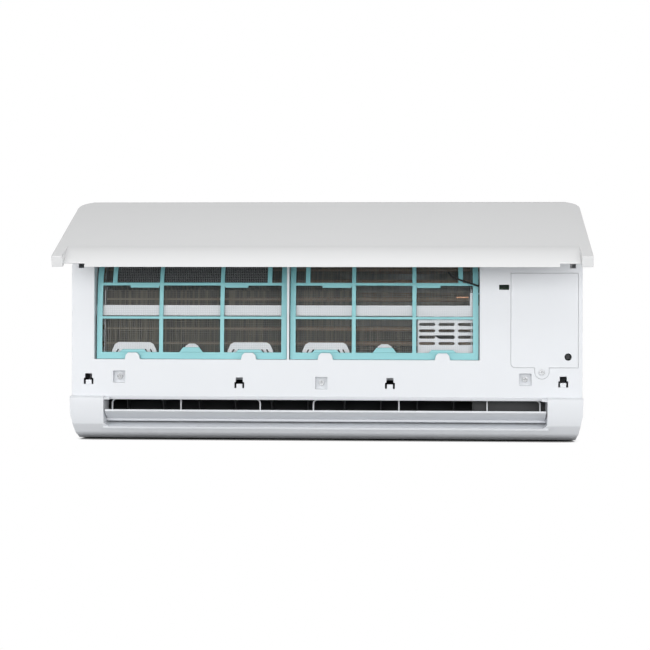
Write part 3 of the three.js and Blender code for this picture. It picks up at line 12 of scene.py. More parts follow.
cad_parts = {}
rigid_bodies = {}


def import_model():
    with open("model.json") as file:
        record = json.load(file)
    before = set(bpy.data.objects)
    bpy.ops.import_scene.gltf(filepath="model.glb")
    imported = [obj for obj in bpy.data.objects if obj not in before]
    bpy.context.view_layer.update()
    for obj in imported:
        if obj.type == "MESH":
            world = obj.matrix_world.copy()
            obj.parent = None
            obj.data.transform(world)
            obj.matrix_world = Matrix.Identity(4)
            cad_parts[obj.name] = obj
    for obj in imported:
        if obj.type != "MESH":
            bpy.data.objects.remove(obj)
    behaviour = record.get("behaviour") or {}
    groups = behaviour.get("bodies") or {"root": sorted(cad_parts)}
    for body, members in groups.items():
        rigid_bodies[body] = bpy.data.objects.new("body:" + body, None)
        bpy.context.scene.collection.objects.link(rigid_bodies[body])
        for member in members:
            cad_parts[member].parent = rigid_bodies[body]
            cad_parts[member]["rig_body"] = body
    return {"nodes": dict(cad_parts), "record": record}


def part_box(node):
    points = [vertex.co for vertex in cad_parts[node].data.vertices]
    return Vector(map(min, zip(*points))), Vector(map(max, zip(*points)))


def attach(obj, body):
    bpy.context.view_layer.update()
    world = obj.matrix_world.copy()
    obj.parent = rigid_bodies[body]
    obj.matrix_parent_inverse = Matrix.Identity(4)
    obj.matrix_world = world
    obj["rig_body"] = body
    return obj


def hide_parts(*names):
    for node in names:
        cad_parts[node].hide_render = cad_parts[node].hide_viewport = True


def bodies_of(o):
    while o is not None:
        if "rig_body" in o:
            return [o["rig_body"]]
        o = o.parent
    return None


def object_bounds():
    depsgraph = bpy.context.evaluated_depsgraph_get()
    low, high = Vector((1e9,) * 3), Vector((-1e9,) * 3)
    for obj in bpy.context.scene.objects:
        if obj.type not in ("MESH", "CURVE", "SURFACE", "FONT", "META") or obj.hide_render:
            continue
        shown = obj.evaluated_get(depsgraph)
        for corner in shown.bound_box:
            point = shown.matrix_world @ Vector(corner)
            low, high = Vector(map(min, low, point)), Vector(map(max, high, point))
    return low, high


bl_info = {
    "name": "Wall Air Conditioner Indoor Unit",
    "version": (1, 0, 0),
    "blender": (4, 5, 0),
    "location": "View3D > Sidebar > Indoor Unit",
    "description": "Finishes and detail for a wall air conditioner's indoor unit",
    "category": "Object",
}

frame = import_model()
CAD_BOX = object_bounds()
NODES = frame["nodes"]
SLOTS = {row["node"]: row["material_slot"] for row in frame["record"]["subparts"]}
MM = 0.001
SMALL_EDGE = 0.0003             # rounding of fittings, metres
FINE_EDGE = 0.0002              # rounding of thin sheet and vanes, metres

# The filters' path as (distance from the wall, height), in millimetres, front sill to back edge.
FILTER_PATH = [(165, -32.7), (163, 26), (157, 75), (153, 87), (144, 105), (128, 117), (110, 123), (58, 123)]
NET_DEPTH = 3.0                 # middle of the net behind the frame's front face, mm
TUBE_PITCH = 0.021


# ---------------------------------------------------------------- small helpers
def new_mesh_object(name, bm, material, body, replaces=()):
    """Turns a bmesh into a piece that rides on a body."""
    mesh = bpy.data.meshes.new(name)
    bm.to_mesh(mesh)
    bm.free()
    piece = bpy.data.objects.new(name, mesh)
    bpy.context.scene.collection.objects.link(piece)
    mesh.materials.append(material)
    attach(piece, body)
    if replaces:
        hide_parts(*replaces)
    return piece


def body_of(node):
    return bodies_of(NODES[node])[0]


def smooth_by_angle(bm, degrees=32):
    for face in bm.faces:
        face.smooth = True
    for edge in bm.edges:
        if len(edge.link_faces) == 2:
            edge.smooth = edge.calc_face_angle(0) < radians(degrees)
        else:
            edge.smooth = False


def merged_copy(node):
    """A CAD node's mesh with its triangles joined up and flat areas cleared."""
    bm = bmesh.new()
    bm.from_mesh(NODES[node].data)
    bmesh.ops.remove_doubles(bm, verts=bm.verts, dist=2e-5)
    bmesh.ops.dissolve_degenerate(bm, edges=bm.edges, dist=2e-5)
    bmesh.ops.dissolve_limit(bm, angle_limit=radians(0.6), verts=bm.verts, edges=bm.edges,
                             delimit={"NORMAL"})
    return bm


def soften_edges(bm, radius, segments=2, angle=28):
    sharp = [e for e in bm.edges if e.is_manifold and e.calc_face_angle(0) > radians(angle)
             and e.calc_length() > 3 * radius]
    bmesh.ops.bevel(bm, geom=sharp, offset=radius, offset_type="OFFSET", segments=segments,
                    profile=0.5, affect="EDGES", clamp_overlap=False, material=-1)


def finished_copy(node, material, radius=0.0004, segments=2):
    """Stands for a CAD node with its edges softened."""
    bm = merged_copy(node)
    if radius:
        soften_edges(bm, radius, segments)
    smooth_by_angle(bm)
    piece = new_mesh_object(node + "_finish", bm, material, body_of(node), [node])
    even = piece.modifiers.new("Even shading", "WEIGHTED_NORMAL")
    even.keep_sharp = True
    even.weight = 80
    return piece


def add_box(bm, low, high):
    centre = (Vector(low) + Vector(high)) / 2
    size = Vector(high) - Vector(low)
    matrix = Matrix.Translation(centre) @ Matrix.Diagonal((*size, 1))
    return bmesh.ops.create_cube(bm, size=1, matrix=matrix)["verts"]


def offset_path(path, distance):
    """The path moved sideways, towards the wall side of the filters."""
    moved = []
    for i, (d, z) in enumerate(path):
        before = path[max(i - 1, 0)]
        after = path[min(i + 1, len(path) - 1)]
        a = (d - before[0], z - before[1])
        b = (after[0] - d, after[1] - z)
        normals = [(-v[1] / hypot(*v), v[0] / hypot(*v)) for v in (a, b) if hypot(*v) > 0]
        n = (sum(v[0] for v in normals) / len(normals), sum(v[1] for v in normals) / len(normals))
        scale = distance / (n[0] ** 2 + n[1] ** 2)
        moved.append((d + n[0] * scale, z + n[1] * scale))
    return moved


def spaced_points(path, pitch):
    """Points and directions at an even pitch along a path."""
    found = []
    carry = pitch / 2
    for (d0, z0), (d1, z1) in zip(path, path[1:]):
        length = hypot(d1 - d0, z1 - z0)
        along = carry
        while along < length:
            t = along / length
            found.append(((d0 + (d1 - d0) * t, z0 + (z1 - z0) * t), ((d1 - d0) / length, (z1 - z0) / length)))
            along += pitch
        carry = along - length
    return found


# ---------------------------------------------------------------- materials
def start_material(name):
    material = bpy.data.materials.new(name)
    material.use_nodes = True
    nodes = material.node_tree.nodes
    nodes.clear()
    output = nodes.new("ShaderNodeOutputMaterial")
    shader = nodes.new("ShaderNodeBsdfPrincipled")
    material.node_tree.links.new(shader.outputs["BSDF"], output.inputs["Surface"])
    return material, shader


def object_noise(material, scale, stretch=(1, 1, 1), detail=4.0, rough=0.55):
    """Noise on Object coordinates. Scale is features per metre."""
    tree = material.node_tree
    where = tree.nodes.new("ShaderNodeTexCoord")
    mapping = tree.nodes.new("ShaderNodeMapping")
    mapping.inputs["Scale"].default_value = stretch
    noise = tree.nodes.new("ShaderNodeTexNoise")
    noise.inputs["Scale"].default_value = scale
    noise.inputs["Detail"].default_value = detail
    noise.inputs["Roughness"].default_value = rough
    tree.links.new(where.outputs["Object"], mapping.inputs["Vector"])
    tree.links.new(mapping.outputs["Vector"], noise.inputs["Vector"])
    return noise.outputs["Fac"]


def colour_between(material, factor, low, high, start=0.35, end=0.65):
    tree = material.node_tree
    ramp = tree.nodes.new("ShaderNodeValToRGB")
    ramp.color_ramp.elements[0].position = start
    ramp.color_ramp.elements[1].position = end
    ramp.color_ramp.elements[0].color = (*low, 1)
    ramp.color_ramp.elements[1].color = (*high, 1)
    tree.links.new(factor, ramp.inputs["Fac"])
    return ramp.outputs["Color"]


def value_between(material, factor, low, high):
    tree = material.node_tree
    spread = tree.nodes.new("ShaderNodeMapRange")
    spread.inputs["From Min"].default_value = 0.3
    spread.inputs["From Max"].default_value = 0.7
    spread.inputs["To Min"].default_value = low
    spread.inputs["To Max"].default_value = high
    tree.links.new(factor, spread.inputs["Value"])
    return spread.outputs["Result"]


def add_bump(material, shader, height, distance, strength=1.0):
    tree = material.node_tree
    bump = tree.nodes.new("ShaderNodeBump")
    bump.inputs["Distance"].default_value = distance
    bump.inputs["Strength"].default_value = strength
    tree.links.new(height, bump.inputs["Height"])
    tree.links.new(bump.outputs["Normal"], shader.inputs["Normal"])


def shade(colour, factor):
    return tuple(min(1.0, c * factor) for c in colour)


def moulded_plastic(name, colour, roughness, grain=2600, depth=0.00002, spread=0.06, coat=0.0):
    """Injection moulded plastic: fine grain, faint cloudiness, patchy sheen."""
    material, shader = start_material(name)
    tree = material.node_tree
    cloud = object_noise(material, 9, detail=3)
    fine = object_noise(material, grain, detail=2)
    tree.links.new(colour_between(material, cloud, shade(colour, 1 - spread / 2), colour),
                   shader.inputs["Base Color"])
    sheen = object_noise(material, 14, detail=1)
    tree.links.new(value_between(material, sheen, roughness * 0.96, roughness * 1.04),
                   shader.inputs["Roughness"])
    shader.inputs["Coat Weight"].default_value = coat
    shader.inputs["Coat Roughness"].default_value = 0.12
    if depth:
        add_bump(material, shader, fine, depth, 0.6)
    return material


def bare_metal(name, colour, roughness, stretch=(1, 1, 1), grain=700, spread=0.25, metallic=1.0):
    """Metal with fine drawn or rolled lines."""
    material, shader = start_material(name)
    tree = material.node_tree
    lines = object_noise(material, grain, stretch, detail=5, rough=0.7)
    tarnish = object_noise(material, 30, detail=6, rough=0.65)
    tree.links.new(colour_between(material, tarnish, shade(colour, 1 - spread), colour),
                   shader.inputs["Base Color"])
    tree.links.new(value_between(material, lines, roughness * 0.75, roughness * 1.3),
                   shader.inputs["Roughness"])
    shader.inputs["Metallic"].default_value = metallic
    add_bump(material, shader, lines, 0.00003, 0.5)
    return material


def fin_pack(name, colour):
    """Pressed aluminium fins: uneven streaks from fin to fin, a pale line at every row of tubes."""
    material, shader = start_material(name)
    tree = material.node_tree
    streaks = object_noise(material, 420, (1, 0.004, 0.02), detail=2)
    streak_colour = colour_between(material, streaks, shade(colour, 0.35), shade(colour, 1.35), 0.38, 0.62)
    where = tree.nodes.new("ShaderNodeTexCoord")
    wave = tree.nodes.new("ShaderNodeTexWave")
    wave.bands_direction = "Z"
    wave.inputs["Scale"].default_value = pi / (10 * TUBE_PITCH)
    tree.links.new(where.outputs["Object"], wave.inputs["Vector"])
    row = tree.nodes.new("ShaderNodeMapRange")
    row.inputs["From Min"].default_value = 0.93
    row.inputs["From Max"].default_value = 1.0
    tree.links.new(wave.outputs["Fac"], row.inputs["Value"])
    mix = tree.nodes.new("ShaderNodeMix")
    mix.data_type = "RGBA"
    mix.inputs[7].default_value = (*shade(colour, 1.8), 1)
    tree.links.new(row.outputs["Result"], mix.inputs[0])
    tree.links.new(streak_colour, mix.inputs[6])
    tree.links.new(mix.outputs[2], shader.inputs["Base Color"])
    tree.links.new(value_between(material, streaks, 0.35, 0.6), shader.inputs["Roughness"])
    shader.inputs["Metallic"].default_value = 0.35
    add_bump(material, shader, streaks, 0.0001, 0.5)
    return material


def circuit_material(name, colour):
    """Coated board with pale tracks."""
    material, shader = start_material(name)
    tree = material.node_tree
    where = tree.nodes.new("ShaderNodeTexCoord")
    brick = tree.nodes.new("ShaderNodeTexBrick")
    brick.inputs["Scale"].default_value = 90
    brick.inputs["Mortar Size"].default_value = 0.03
    brick.inputs["Color1"].default_value = (*colour, 1)
    brick.inputs["Color2"].default_value = (*shade(colour, 0.8), 1)
    brick.inputs["Mortar"].default_value = (*shade(colour, 2.1), 1)
    turn = tree.nodes.new("ShaderNodeMapping")
    turn.inputs["Rotation"].default_value = (radians(90), 0, 0)
    tree.links.new(where.outputs["Object"], turn.inputs["Vector"])
    tree.links.new(turn.outputs["Vector"], brick.inputs["Vector"])
    tree.links.new(brick.outputs["Color"], shader.inputs["Base Color"])
    shader.inputs["Roughness"].default_value = 0.4
    add_bump(material, shader, brick.outputs["Fac"], 0.00005, 0.4)
    return material


def pleated_charcoal(name, colour):
    """Dark pleats that run up the pad, drawn as painted shade in each fold and painted highlight on each
    crest, with a matching bump and speckled grain.
    """
    material, shader = start_material(name)
    tree = material.node_tree
    where = tree.nodes.new("ShaderNodeTexCoord")
    wave = tree.nodes.new("ShaderNodeTexWave")
    wave.bands_direction = "X"
    wave.inputs["Scale"].default_value = 95
    tree.links.new(where.outputs["Object"], wave.inputs["Vector"])
    # Painted shade and highlight: each pleat is darker in its fold and lighter on its crest.
    pleat_shade_and_highlight = colour_between(material, wave.outputs["Fac"], shade(colour, 0.8), shade(colour, 1.25), 0.1, 0.9)
    tree.links.new(pleat_shade_and_highlight, shader.inputs["Base Color"])
    grain = object_noise(material, 900, detail=3)
    tree.links.new(value_between(material, grain, 0.7, 0.95), shader.inputs["Roughness"])
    add_bump(material, shader, wave.outputs["Fac"], 0.0004, 0.7)
    return material


MATERIALS = {}


def finish_of(slot):
    """The material for one of the record's material slots, made once."""
    if slot in MATERIALS:
        return MATERIALS[slot]
    shell = bpy.context.scene.unit_shell
    filters = bpy.context.scene.unit_filters
    coil = bpy.context.scene.unit_coil
    makers = {
        "frame_white": lambda: moulded_plastic("Frame white", shell.frame_colour, 0.34, depth=0.000004,
                                               spread=0.02, coat=0.15),
        "inner_white": lambda: moulded_plastic("Inner white", shell.inner_colour, 0.5),
        "panel_white": lambda: moulded_plastic("Panel white", shell.panel_colour, 0.26, depth=0,
                                               spread=0.015, coat=0.35),
        "plate_steel": lambda: bare_metal("Zinc plate", (0.48, 0.49, 0.5), 0.42, (1, 1, 9)),
        "dark_plastic": lambda: moulded_plastic("Dark plastic", (0.028, 0.029, 0.031), 0.55, spread=0.3),
        "pan_foam": lambda: moulded_plastic("Pan grey", (0.52, 0.55, 0.58), 0.75, grain=500, depth=0.00015),
        "fins": lambda: fin_pack("Coil fins", coil.fin_colour),
        "copper": lambda: bare_metal("Copper tube", (0.62, 0.33, 0.2), 0.3, (7, 1, 1)),
        "nut_brass": lambda: bare_metal("Brass nut", (0.68, 0.5, 0.22), 0.3, (1, 6, 6)),
        "rubber": lambda: moulded_plastic("Rubber", (0.018, 0.018, 0.018), 0.8, grain=1500, spread=0.4),
        "circuit_board": lambda: circuit_material("Circuit board", (0.025, 0.085, 0.045)),
        "filter_teal": lambda: moulded_plastic("Filter teal", filters.teal, 0.38, spread=0.1),
        "filter_net": lambda: moulded_plastic("Filter net", filters.net_colour, 0.6, spread=0.2),
        "charcoal": lambda: pleated_charcoal("Charcoal pleats", (0.03, 0.03, 0.032)),
    }
    MATERIALS[slot] = makers[slot]()
    return MATERIALS[slot]


# ---------------------------------------------------------------- settings
class ShellSettings(bpy.types.PropertyGroup):
    edge_radius: FloatProperty(
        name="Edge radius", description="Rounding of the mouldings' edges",
        default=0.00045, min=0.0001, max=0.0012, precision=5, unit="LENGTH")
    frame_colour: FloatVectorProperty(
        name="Frame white", description="Colour of the front frame",
        default=(0.75, 0.77, 0.8), subtype="COLOR", size=3, min=0, max=1)
    panel_colour: FloatVectorProperty(
        name="Panel white", description="Colour of the raised front panel",
        default=(0.755, 0.76, 0.765), subtype="COLOR", size=3, min=0, max=1)
    inner_colour: FloatVectorProperty(
        name="Inner white", description="Colour of the inner mouldings",
        default=(0.78, 0.79, 0.81), subtype="COLOR", size=3, min=0, max=1)


class FilterSettings(bpy.types.PropertyGroup):
    net_pitch: FloatProperty(
        name="Net pitch", description="Distance between strands of the net",
        default=0.0026, min=0.001, max=0.006, precision=5, unit="LENGTH")
    strand: FloatProperty(
        name="Strand", description="Thickness of one strand of the net",
        default=0.00014, min=0.0001, max=0.001, precision=5, unit="LENGTH")
    teal: FloatVectorProperty(
        name="Teal", description="Colour of the filter frames",
        default=(0.27, 0.62, 0.655), subtype="COLOR", size=3, min=0, max=1)
    net_colour: FloatVectorProperty(
        name="Net", description="Colour of the net's strands",
        default=(0.45, 0.48, 0.48), subtype="COLOR", size=3, min=0, max=1)


class CoilSettings(bpy.types.PropertyGroup):
    fin_pitch: FloatProperty(
        name="Fin pitch", description="Distance between the coil's fins",
        default=0.0016, min=0.001, max=0.006, precision=5, unit="LENGTH")
    fin_thickness: FloatProperty(
        name="Fin thickness", description="Thickness of one fin",
        default=0.00022, min=0.0001, max=0.001, precision=5, unit="LENGTH")
    fin_colour: FloatVectorProperty(
        name="Fins", description="Colour of the fins",
        default=(0.31, 0.275, 0.22), subtype="COLOR", size=3, min=0, max=1)


class StageSettings(bpy.types.PropertyGroup):
    floor_bounce: FloatVectorProperty(
        name="Floor bounce", description="Colour of the light that the floor throws back",
        default=(0.6, 0.6, 0.6), subtype="COLOR", size=3, min=0, max=1)
    # The unit's shadow on the floor is painted by an Ambient Occlusion node; this is how far it reaches.
    shadow_reach: FloatProperty(
        name="Shadow reach", description="Distance over which the unit darkens the floor",
        default=0.04, min=0, max=0.5, unit="LENGTH")
    key_power: FloatProperty(
        name="Key", description="Power of the large front lamp",
        default=29.0, min=0, subtype="POWER")
    top_power: FloatProperty(
        name="Top", description="Power of the lamp above",
        default=1.2, min=0, subtype="POWER")
    room_light: FloatProperty(
        name="Room", description="Strength of the even light from all round",
        default=0.54, min=0, max=1)
    focal_length: FloatProperty(
        name="Focal length", description="Camera lens in millimetres",
        default=91.22, min=20, max=200)


# ---------------------------------------------------------------- white mouldings
class MakeFrontPanel(bpy.types.Operator):
    """Front panel and its two arms, with softened edges"""
    bl_idname = "indoor_unit.front_panel"
    bl_label = "Front panel"

    def execute(self, context):
        radius = context.scene.unit_shell.edge_radius
        finished_copy("front_panel", finish_of("panel_white"), radius * 1.6, 3)
        for side in ("left", "right"):
            finished_copy("panel_arm_" + side, finish_of("inner_white"), radius)
        return {"FINISHED"}


class MakeCabinet(bpy.types.Operator):
    """Front frame, top grille, rear casing and the wiring cover"""
    bl_idname = "indoor_unit.cabinet"
    bl_label = "Cabinet"

    def execute(self, context):
        radius = context.scene.unit_shell.edge_radius
        for node in ("front_frame", "electrical_cover"):
            finished_copy(node, finish_of("frame_white"), radius)
        finished_copy("top_grille", finish_of("frame_white"), 0)
        finished_copy("rear_casing", finish_of("inner_white"), radius)
        finished_copy("manual_button", finish_of("dark_plastic"), radius)
        return {"FINISHED"}


# ---------------------------------------------------------------- air filters
class MakeFilters(bpy.types.Operator):
    """Teal filter frames, their fine nets and the dark pleated pad"""
    bl_idname = "indoor_unit.filters"
    bl_label = "Air filters"

    def execute(self, context):
        settings = context.scene.unit_filters
        radius = context.scene.unit_shell.edge_radius
        for side in ("left", "right"):
            finished_copy("filter_frame_" + side, finish_of("filter_teal"), radius)
            self.make_net(side, settings)
        finished_copy("deodorising_filter", finish_of("charcoal"), radius)
        return {"FINISHED"}

    def make_net(self, side, settings):
        node = "filter_net_" + side
        low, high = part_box(node)
        path = [(d * MM, z * MM) for d, z in offset_path(FILTER_PATH, NET_DEPTH)]
        path[0] = (path[0][0], low.z)
        path[-1] = (-high.y, path[-1][1])
        strand = settings.strand
        bm = bmesh.new()
        count = int((high.x - low.x - strand) / settings.net_pitch)
        first = strand_loop(bm, path, strand, low.x + strand / 2)
        for i in range(1, count + 1):
            shift = (high.x - low.x - strand) * i / count
            copy = bmesh.ops.duplicate(bm, geom=first)["geom"]
            moved = [g for g in copy if isinstance(g, bmesh.types.BMVert)]
            bmesh.ops.translate(bm, verts=moved, vec=(shift, 0, 0))
        for (d, z), (rd, rz) in spaced_points(path, settings.net_pitch):
            verts = add_box(bm, (low.x, -strand / 2, -strand / 2), (high.x, strand / 2, strand / 2))
            bmesh.ops.translate(bm, verts=verts, vec=(0, -(d - rz * strand * 0.7), z + rd * strand * 0.7))
        smooth_by_angle(bm, 60)
        new_mesh_object("net_weave_" + side, bm, finish_of("filter_net"), body_of(node), [node])


def strand_loop(bm, path, width, x):
    """A four-sided strand along the path, made by extruding its end face. Returns its geometry."""
    d, z = path[0]
    corners = [(x - width / 2, -d + width / 2, z), (x + width / 2, -d + width / 2, z),
               (x + width / 2, -d - width / 2, z), (x - width / 2, -d - width / 2, z)]
    face = bm.faces.new([bm.verts.new(c) for c in corners])
    tip = face
    for (d0, z0), (d1, z1) in zip(path, path[1:]):
        grown = bmesh.ops.extrude_face_region(bm, geom=[tip], use_keep_orig=tip is face)
        tip = [g for g in grown["geom"] if isinstance(g, bmesh.types.BMFace)][0]
        bmesh.ops.translate(bm, verts=tip.verts, vec=(0, d0 - d1, z1 - z0))
    bmesh.ops.recalc_face_normals(bm, faces=bm.faces)
    return list(bm.verts) + list(bm.edges) + list(bm.faces)


# ---------------------------------------------------------------- coil
class MakeCoil(bpy.types.Operator):
    """Fin packs, hairpin tubes and end plates of the coil"""
    bl_idname = "indoor_unit.coil"
    bl_label = "Coil"

    def execute(self, context):
        settings = context.scene.unit_coil
        for part in ("front_lower", "front_upper", "rear"):
            self.make_fins("coil_" + part, settings)
            finished_copy("coil_tubes_" + part, finish_of("copper"), 0)
        for side in ("left", "right"):
            finished_copy("coil_end_plate_" + side, finish_of("plate_steel"), FINE_EDGE)
        finished_copy("coil_sensor", finish_of("copper"), SMALL_EDGE)
        return {"FINISHED"}

    def make_fins(self, node, settings):
        """Thin plates side by side, each cut to the slab's section."""
        low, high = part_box(node)
        points = [Vector((v.co.y, v.co.z)) for v in NODES[node].data.vertices]
        outline = [points[i] for i in convex_hull_2d(points)]
        bm = bmesh.new()
        face = bm.faces.new([bm.verts.new((low.x, p.x, p.y)) for p in outline])
        grown = bmesh.ops.extrude_face_region(bm, geom=[face])
        tip = [g for g in grown["geom"] if isinstance(g, bmesh.types.BMVert)]
        bmesh.ops.translate(bm, verts=tip, vec=(settings.fin_thickness, 0, 0))
        bmesh.ops.recalc_face_normals(bm, faces=bm.faces)
        first = list(bm.verts) + list(bm.edges) + list(bm.faces)
        count = int((high.x - low.x - settings.fin_thickness) / settings.fin_pitch)
        for i in range(1, count + 1):
            shift = (high.x - low.x - settings.fin_thickness) * i / count
            copy = bmesh.ops.duplicate(bm, geom=first)["geom"]
            moved = [g for g in copy if isinstance(g, bmesh.types.BMVert)]
            bmesh.ops.translate(bm, verts=moved, vec=(shift, 0, 0))
        new_mesh_object(node + "_fins", bm, finish_of("fins"), body_of(node), [node])


# ---------------------------------------------------------------- air outlet and fan
class MakeOutlet(bpy.types.Operator):
    """Outlet duct, guards, vanes, link bars and louver"""
    bl_idname = "indoor_unit.outlet"
    bl_label = "Air outlet"

    def execute(self, context):
        radius = context.scene.unit_shell.edge_radius
        finished_copy("louver", finish_of("frame_white"), radius)
        finished_copy("outlet_duct", finish_of("dark_plastic"), 0)
        finished_copy("drain_pan", finish_of("pan_foam"), radius)
        for side in ("left", "right"):
            finished_copy("outlet_guard_" + side, finish_of("inner_white"), SMALL_EDGE)
            finished_copy("vane_link_" + side, finish_of("dark_plastic"), SMALL_EDGE)
            for i in range(1, 6):
                finished_copy(f"vane_{side}_{i}", finish_of("dark_plastic"), FINE_EDGE)
        return {"FINISHED"}


class MakeFan(bpy.types.Operator):
    """Cross-flow fan with its shaft, bearing and motor"""
    bl_idname = "indoor_unit.fan"
    bl_label = "Fan and motors"

    def execute(self, context):
        finished_copy("cross_flow_fan", finish_of("dark_plastic"), 0)
        driven = ("motor_shaft", "fan_motor", "motor_clamp", "bearing_holder", "fan_bearing", "louver_motor")
        for node in driven:
            finished_copy(node, finish_of(SLOTS[node]), SMALL_EDGE)
        return {"FINISHED"}


# ---------------------------------------------------------------- wiring, screws, pipes, wall plate
class MakeFittings(bpy.types.Operator):
    """Wiring box, board, screws, pipes, nuts and wall plate"""
    bl_idname = "indoor_unit.fittings"
    bl_label = "Fittings"

    def execute(self, context):
        plain = ("electrical_box", "control_board", "terminal_block", "cover_screw", "frame_screw_left",
                 "frame_screw_middle", "frame_screw_right", "display_lead", "gas_flare_nut",
                 "liquid_flare_nut", "wall_plate")
        for node in plain:
            finished_copy(node, finish_of(SLOTS[node]), SMALL_EDGE)
        for node in ("gas_pipe", "liquid_pipe"):
            finished_copy(node, finish_of("copper"), 0)
        return {"FINISHED"}


# ---------------------------------------------------------------- stage
CAMERA_PLACE = Vector((0.11819, -2.490, 0.016))
CAMERA_TURN = 2.93              # degrees to the left
CAMERA_ROLL = 0.15
FLOOR_GAP = 0.002               # gap under the unit, where the floor's painted shadow shows as the dark line
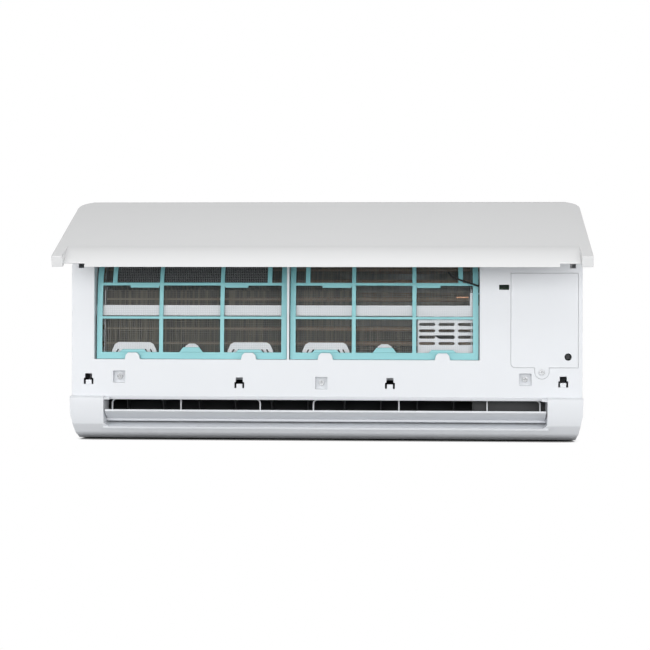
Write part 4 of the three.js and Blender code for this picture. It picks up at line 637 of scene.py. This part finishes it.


class MakeStage(bpy.types.Operator):
    """Camera, lamps, even room light and pale floor with a painted shadow near the unit"""
    bl_idname = "indoor_unit.stage"
    bl_label = "Stage"

    def execute(self, context):
        settings = context.scene.unit_stage
        context.scene.view_settings.view_transform = "Standard"
        self.make_camera(context, settings)
        self.make_lamps(context, settings)
        self.make_world(context, settings)
        self.make_floor(context, settings)
        return {"FINISHED"}

    def make_camera(self, context, settings):
        data = bpy.data.cameras.new("Camera")
        data.lens = settings.focal_length
        data.sensor_width = 36
        camera = bpy.data.objects.new("Camera", data)
        context.scene.collection.objects.link(camera)
        turn = Matrix.Rotation(radians(CAMERA_TURN), 4, "Z")
        level = Matrix.Rotation(radians(90), 4, "X")
        roll = Matrix.Rotation(radians(CAMERA_ROLL), 4, "Z")
        camera.matrix_world = Matrix.Translation(CAMERA_PLACE) @ turn @ level @ roll
        context.scene.camera = camera

    def make_lamps(self, context, settings):
        lamps = (("Key", settings.key_power, (-0.6, -2.9, 0.3), (2.4, 0.85)),
                 ("Fill", settings.key_power * 0.5, (1.3, -2.7, 0.25), (1.4, 0.75)),
                 ("Top", settings.top_power, (0, -0.8, 0.5), (1.3, 0.3)))
        for name, power, place, size in lamps:
            data = bpy.data.lights.new(name, "AREA")
            data.shape = "RECTANGLE"
            data.size, data.size_y = size
            data.energy = power
            lamp = bpy.data.objects.new(name, data)
            context.scene.collection.objects.link(lamp)
            aim = Vector((0, -0.1, 0)) - Vector(place)
            lamp.matrix_world = Matrix.Translation(place) @ aim.to_track_quat("-Z", "Y").to_matrix().to_4x4()

    def make_world(self, context, settings):
        world = bpy.data.worlds.new("Room")
        world.use_nodes = True
        tree = world.node_tree
        tree.nodes.clear()
        output = tree.nodes.new("ShaderNodeOutputWorld")
        room = tree.nodes.new("ShaderNodeBackground")
        room.inputs["Color"].default_value = (1, 1, 1, 1)
        where = tree.nodes.new("ShaderNodeTexCoord")
        split = tree.nodes.new("ShaderNodeSeparateXYZ")
        fall = tree.nodes.new("ShaderNodeMapRange")
        fall.inputs["From Min"].default_value = -1
        fall.inputs["From Max"].default_value = 1
        fall.inputs["To Min"].default_value = settings.room_light * 1.3
        fall.inputs["To Max"].default_value = settings.room_light * 0.8
        tree.links.new(where.outputs["Generated"], split.inputs["Vector"])
        tree.links.new(split.outputs["Y"], fall.inputs["Value"])
        tree.links.new(fall.outputs["Result"], room.inputs["Strength"])
        white = tree.nodes.new("ShaderNodeBackground")
        white.inputs["Color"].default_value = (1, 1, 1, 1)
        white.inputs["Strength"].default_value = 1.0
        seen = tree.nodes.new("ShaderNodeLightPath")
        mix = tree.nodes.new("ShaderNodeMixShader")
        tree.links.new(seen.outputs["Is Camera Ray"], mix.inputs["Fac"])
        tree.links.new(room.outputs["Background"], mix.inputs[1])
        tree.links.new(white.outputs["Background"], mix.inputs[2])
        tree.links.new(mix.outputs["Shader"], output.inputs["Surface"])
        context.scene.world = world

    def make_floor(self, context, settings):
        bm = bmesh.new()
        low = CAD_BOX[0].z - FLOOR_GAP
        bmesh.ops.create_grid(bm, x_segments=1, y_segments=1, size=60, matrix=Matrix.Translation((0, 0, low)))
        mesh = bpy.data.meshes.new("Floor")
        bm.to_mesh(mesh)
        bm.free()
        floor = bpy.data.objects.new("Floor", mesh)
        context.scene.collection.objects.link(floor)
        material = bpy.data.materials.new("Pale floor")
        material.use_nodes = True
        tree = material.node_tree
        tree.nodes.clear()
        output = tree.nodes.new("ShaderNodeOutputMaterial")
        bounce = tree.nodes.new("ShaderNodeBsdfDiffuse")
        bounce.inputs["Color"].default_value = (*settings.floor_bounce, 1)
        # The camera sees the floor as a white glow, darkened near the unit by an Ambient Occlusion node: a
        # painted shadow, not a cast one.
        painted_floor_shadow = tree.nodes.new("ShaderNodeAmbientOcclusion")
        painted_floor_shadow.inputs["Distance"].default_value = settings.shadow_reach
        painted_floor_shadow.samples = 16
        fade = tree.nodes.new("ShaderNodeMapRange")
        fade.inputs["From Min"].default_value = 0.05
        fade.inputs["From Max"].default_value = 0.5
        paper = tree.nodes.new("ShaderNodeEmission")
        seen = tree.nodes.new("ShaderNodeLightPath")
        mix = tree.nodes.new("ShaderNodeMixShader")
        tree.links.new(painted_floor_shadow.outputs["AO"], fade.inputs["Value"])
        tree.links.new(fade.outputs["Result"], paper.inputs["Strength"])
        tree.links.new(seen.outputs["Is Camera Ray"], mix.inputs["Fac"])
        tree.links.new(bounce.outputs["BSDF"], mix.inputs[1])
        tree.links.new(paper.outputs["Emission"], mix.inputs[2])
        tree.links.new(mix.outputs["Shader"], output.inputs["Surface"])
        mesh.materials.append(material)


OPERATORS = (MakeFrontPanel, MakeCabinet, MakeFilters, MakeCoil, MakeOutlet, MakeFan, MakeFittings, MakeStage)
SETTINGS = (ShellSettings, FilterSettings, CoilSettings, StageSettings)


class UnitPanel(bpy.types.Panel):
    """Lists the unit's sizes, colours and makers"""
    bl_idname = "VIEW3D_PT_indoor_unit"
    bl_label = "Indoor Unit"
    bl_space_type = "VIEW_3D"
    bl_region_type = "UI"
    bl_category = "Indoor Unit"

    def draw(self, context):
        for name in ("unit_shell", "unit_filters", "unit_coil", "unit_stage"):
            settings = getattr(context.scene, name)
            box = self.layout.box()
            for key in settings.bl_rna.properties.keys():
                if key not in ("rna_type", "name"):
                    box.prop(settings, key)
        for operator in OPERATORS:
            self.layout.operator(operator.bl_idname)


def register():
    for cls in (*SETTINGS, *OPERATORS, UnitPanel):
        bpy.utils.register_class(cls)
    bpy.types.Scene.unit_shell = PointerProperty(type=ShellSettings)
    bpy.types.Scene.unit_filters = PointerProperty(type=FilterSettings)
    bpy.types.Scene.unit_coil = PointerProperty(type=CoilSettings)
    bpy.types.Scene.unit_stage = PointerProperty(type=StageSettings)


def unregister():
    del bpy.types.Scene.unit_shell
    del bpy.types.Scene.unit_filters
    del bpy.types.Scene.unit_coil
    del bpy.types.Scene.unit_stage
    for cls in reversed((*SETTINGS, *OPERATORS, UnitPanel)):
        bpy.utils.unregister_class(cls)


def main():
    register()
    bpy.ops.indoor_unit.stage()
    bpy.ops.indoor_unit.front_panel()
    bpy.ops.indoor_unit.cabinet()
    bpy.ops.indoor_unit.filters()
    bpy.ops.indoor_unit.coil()
    bpy.ops.indoor_unit.outlet()
    bpy.ops.indoor_unit.fan()
    bpy.ops.indoor_unit.fittings()
    bpy.context.view_layer.update()


if __name__ == "__main__":
    main()
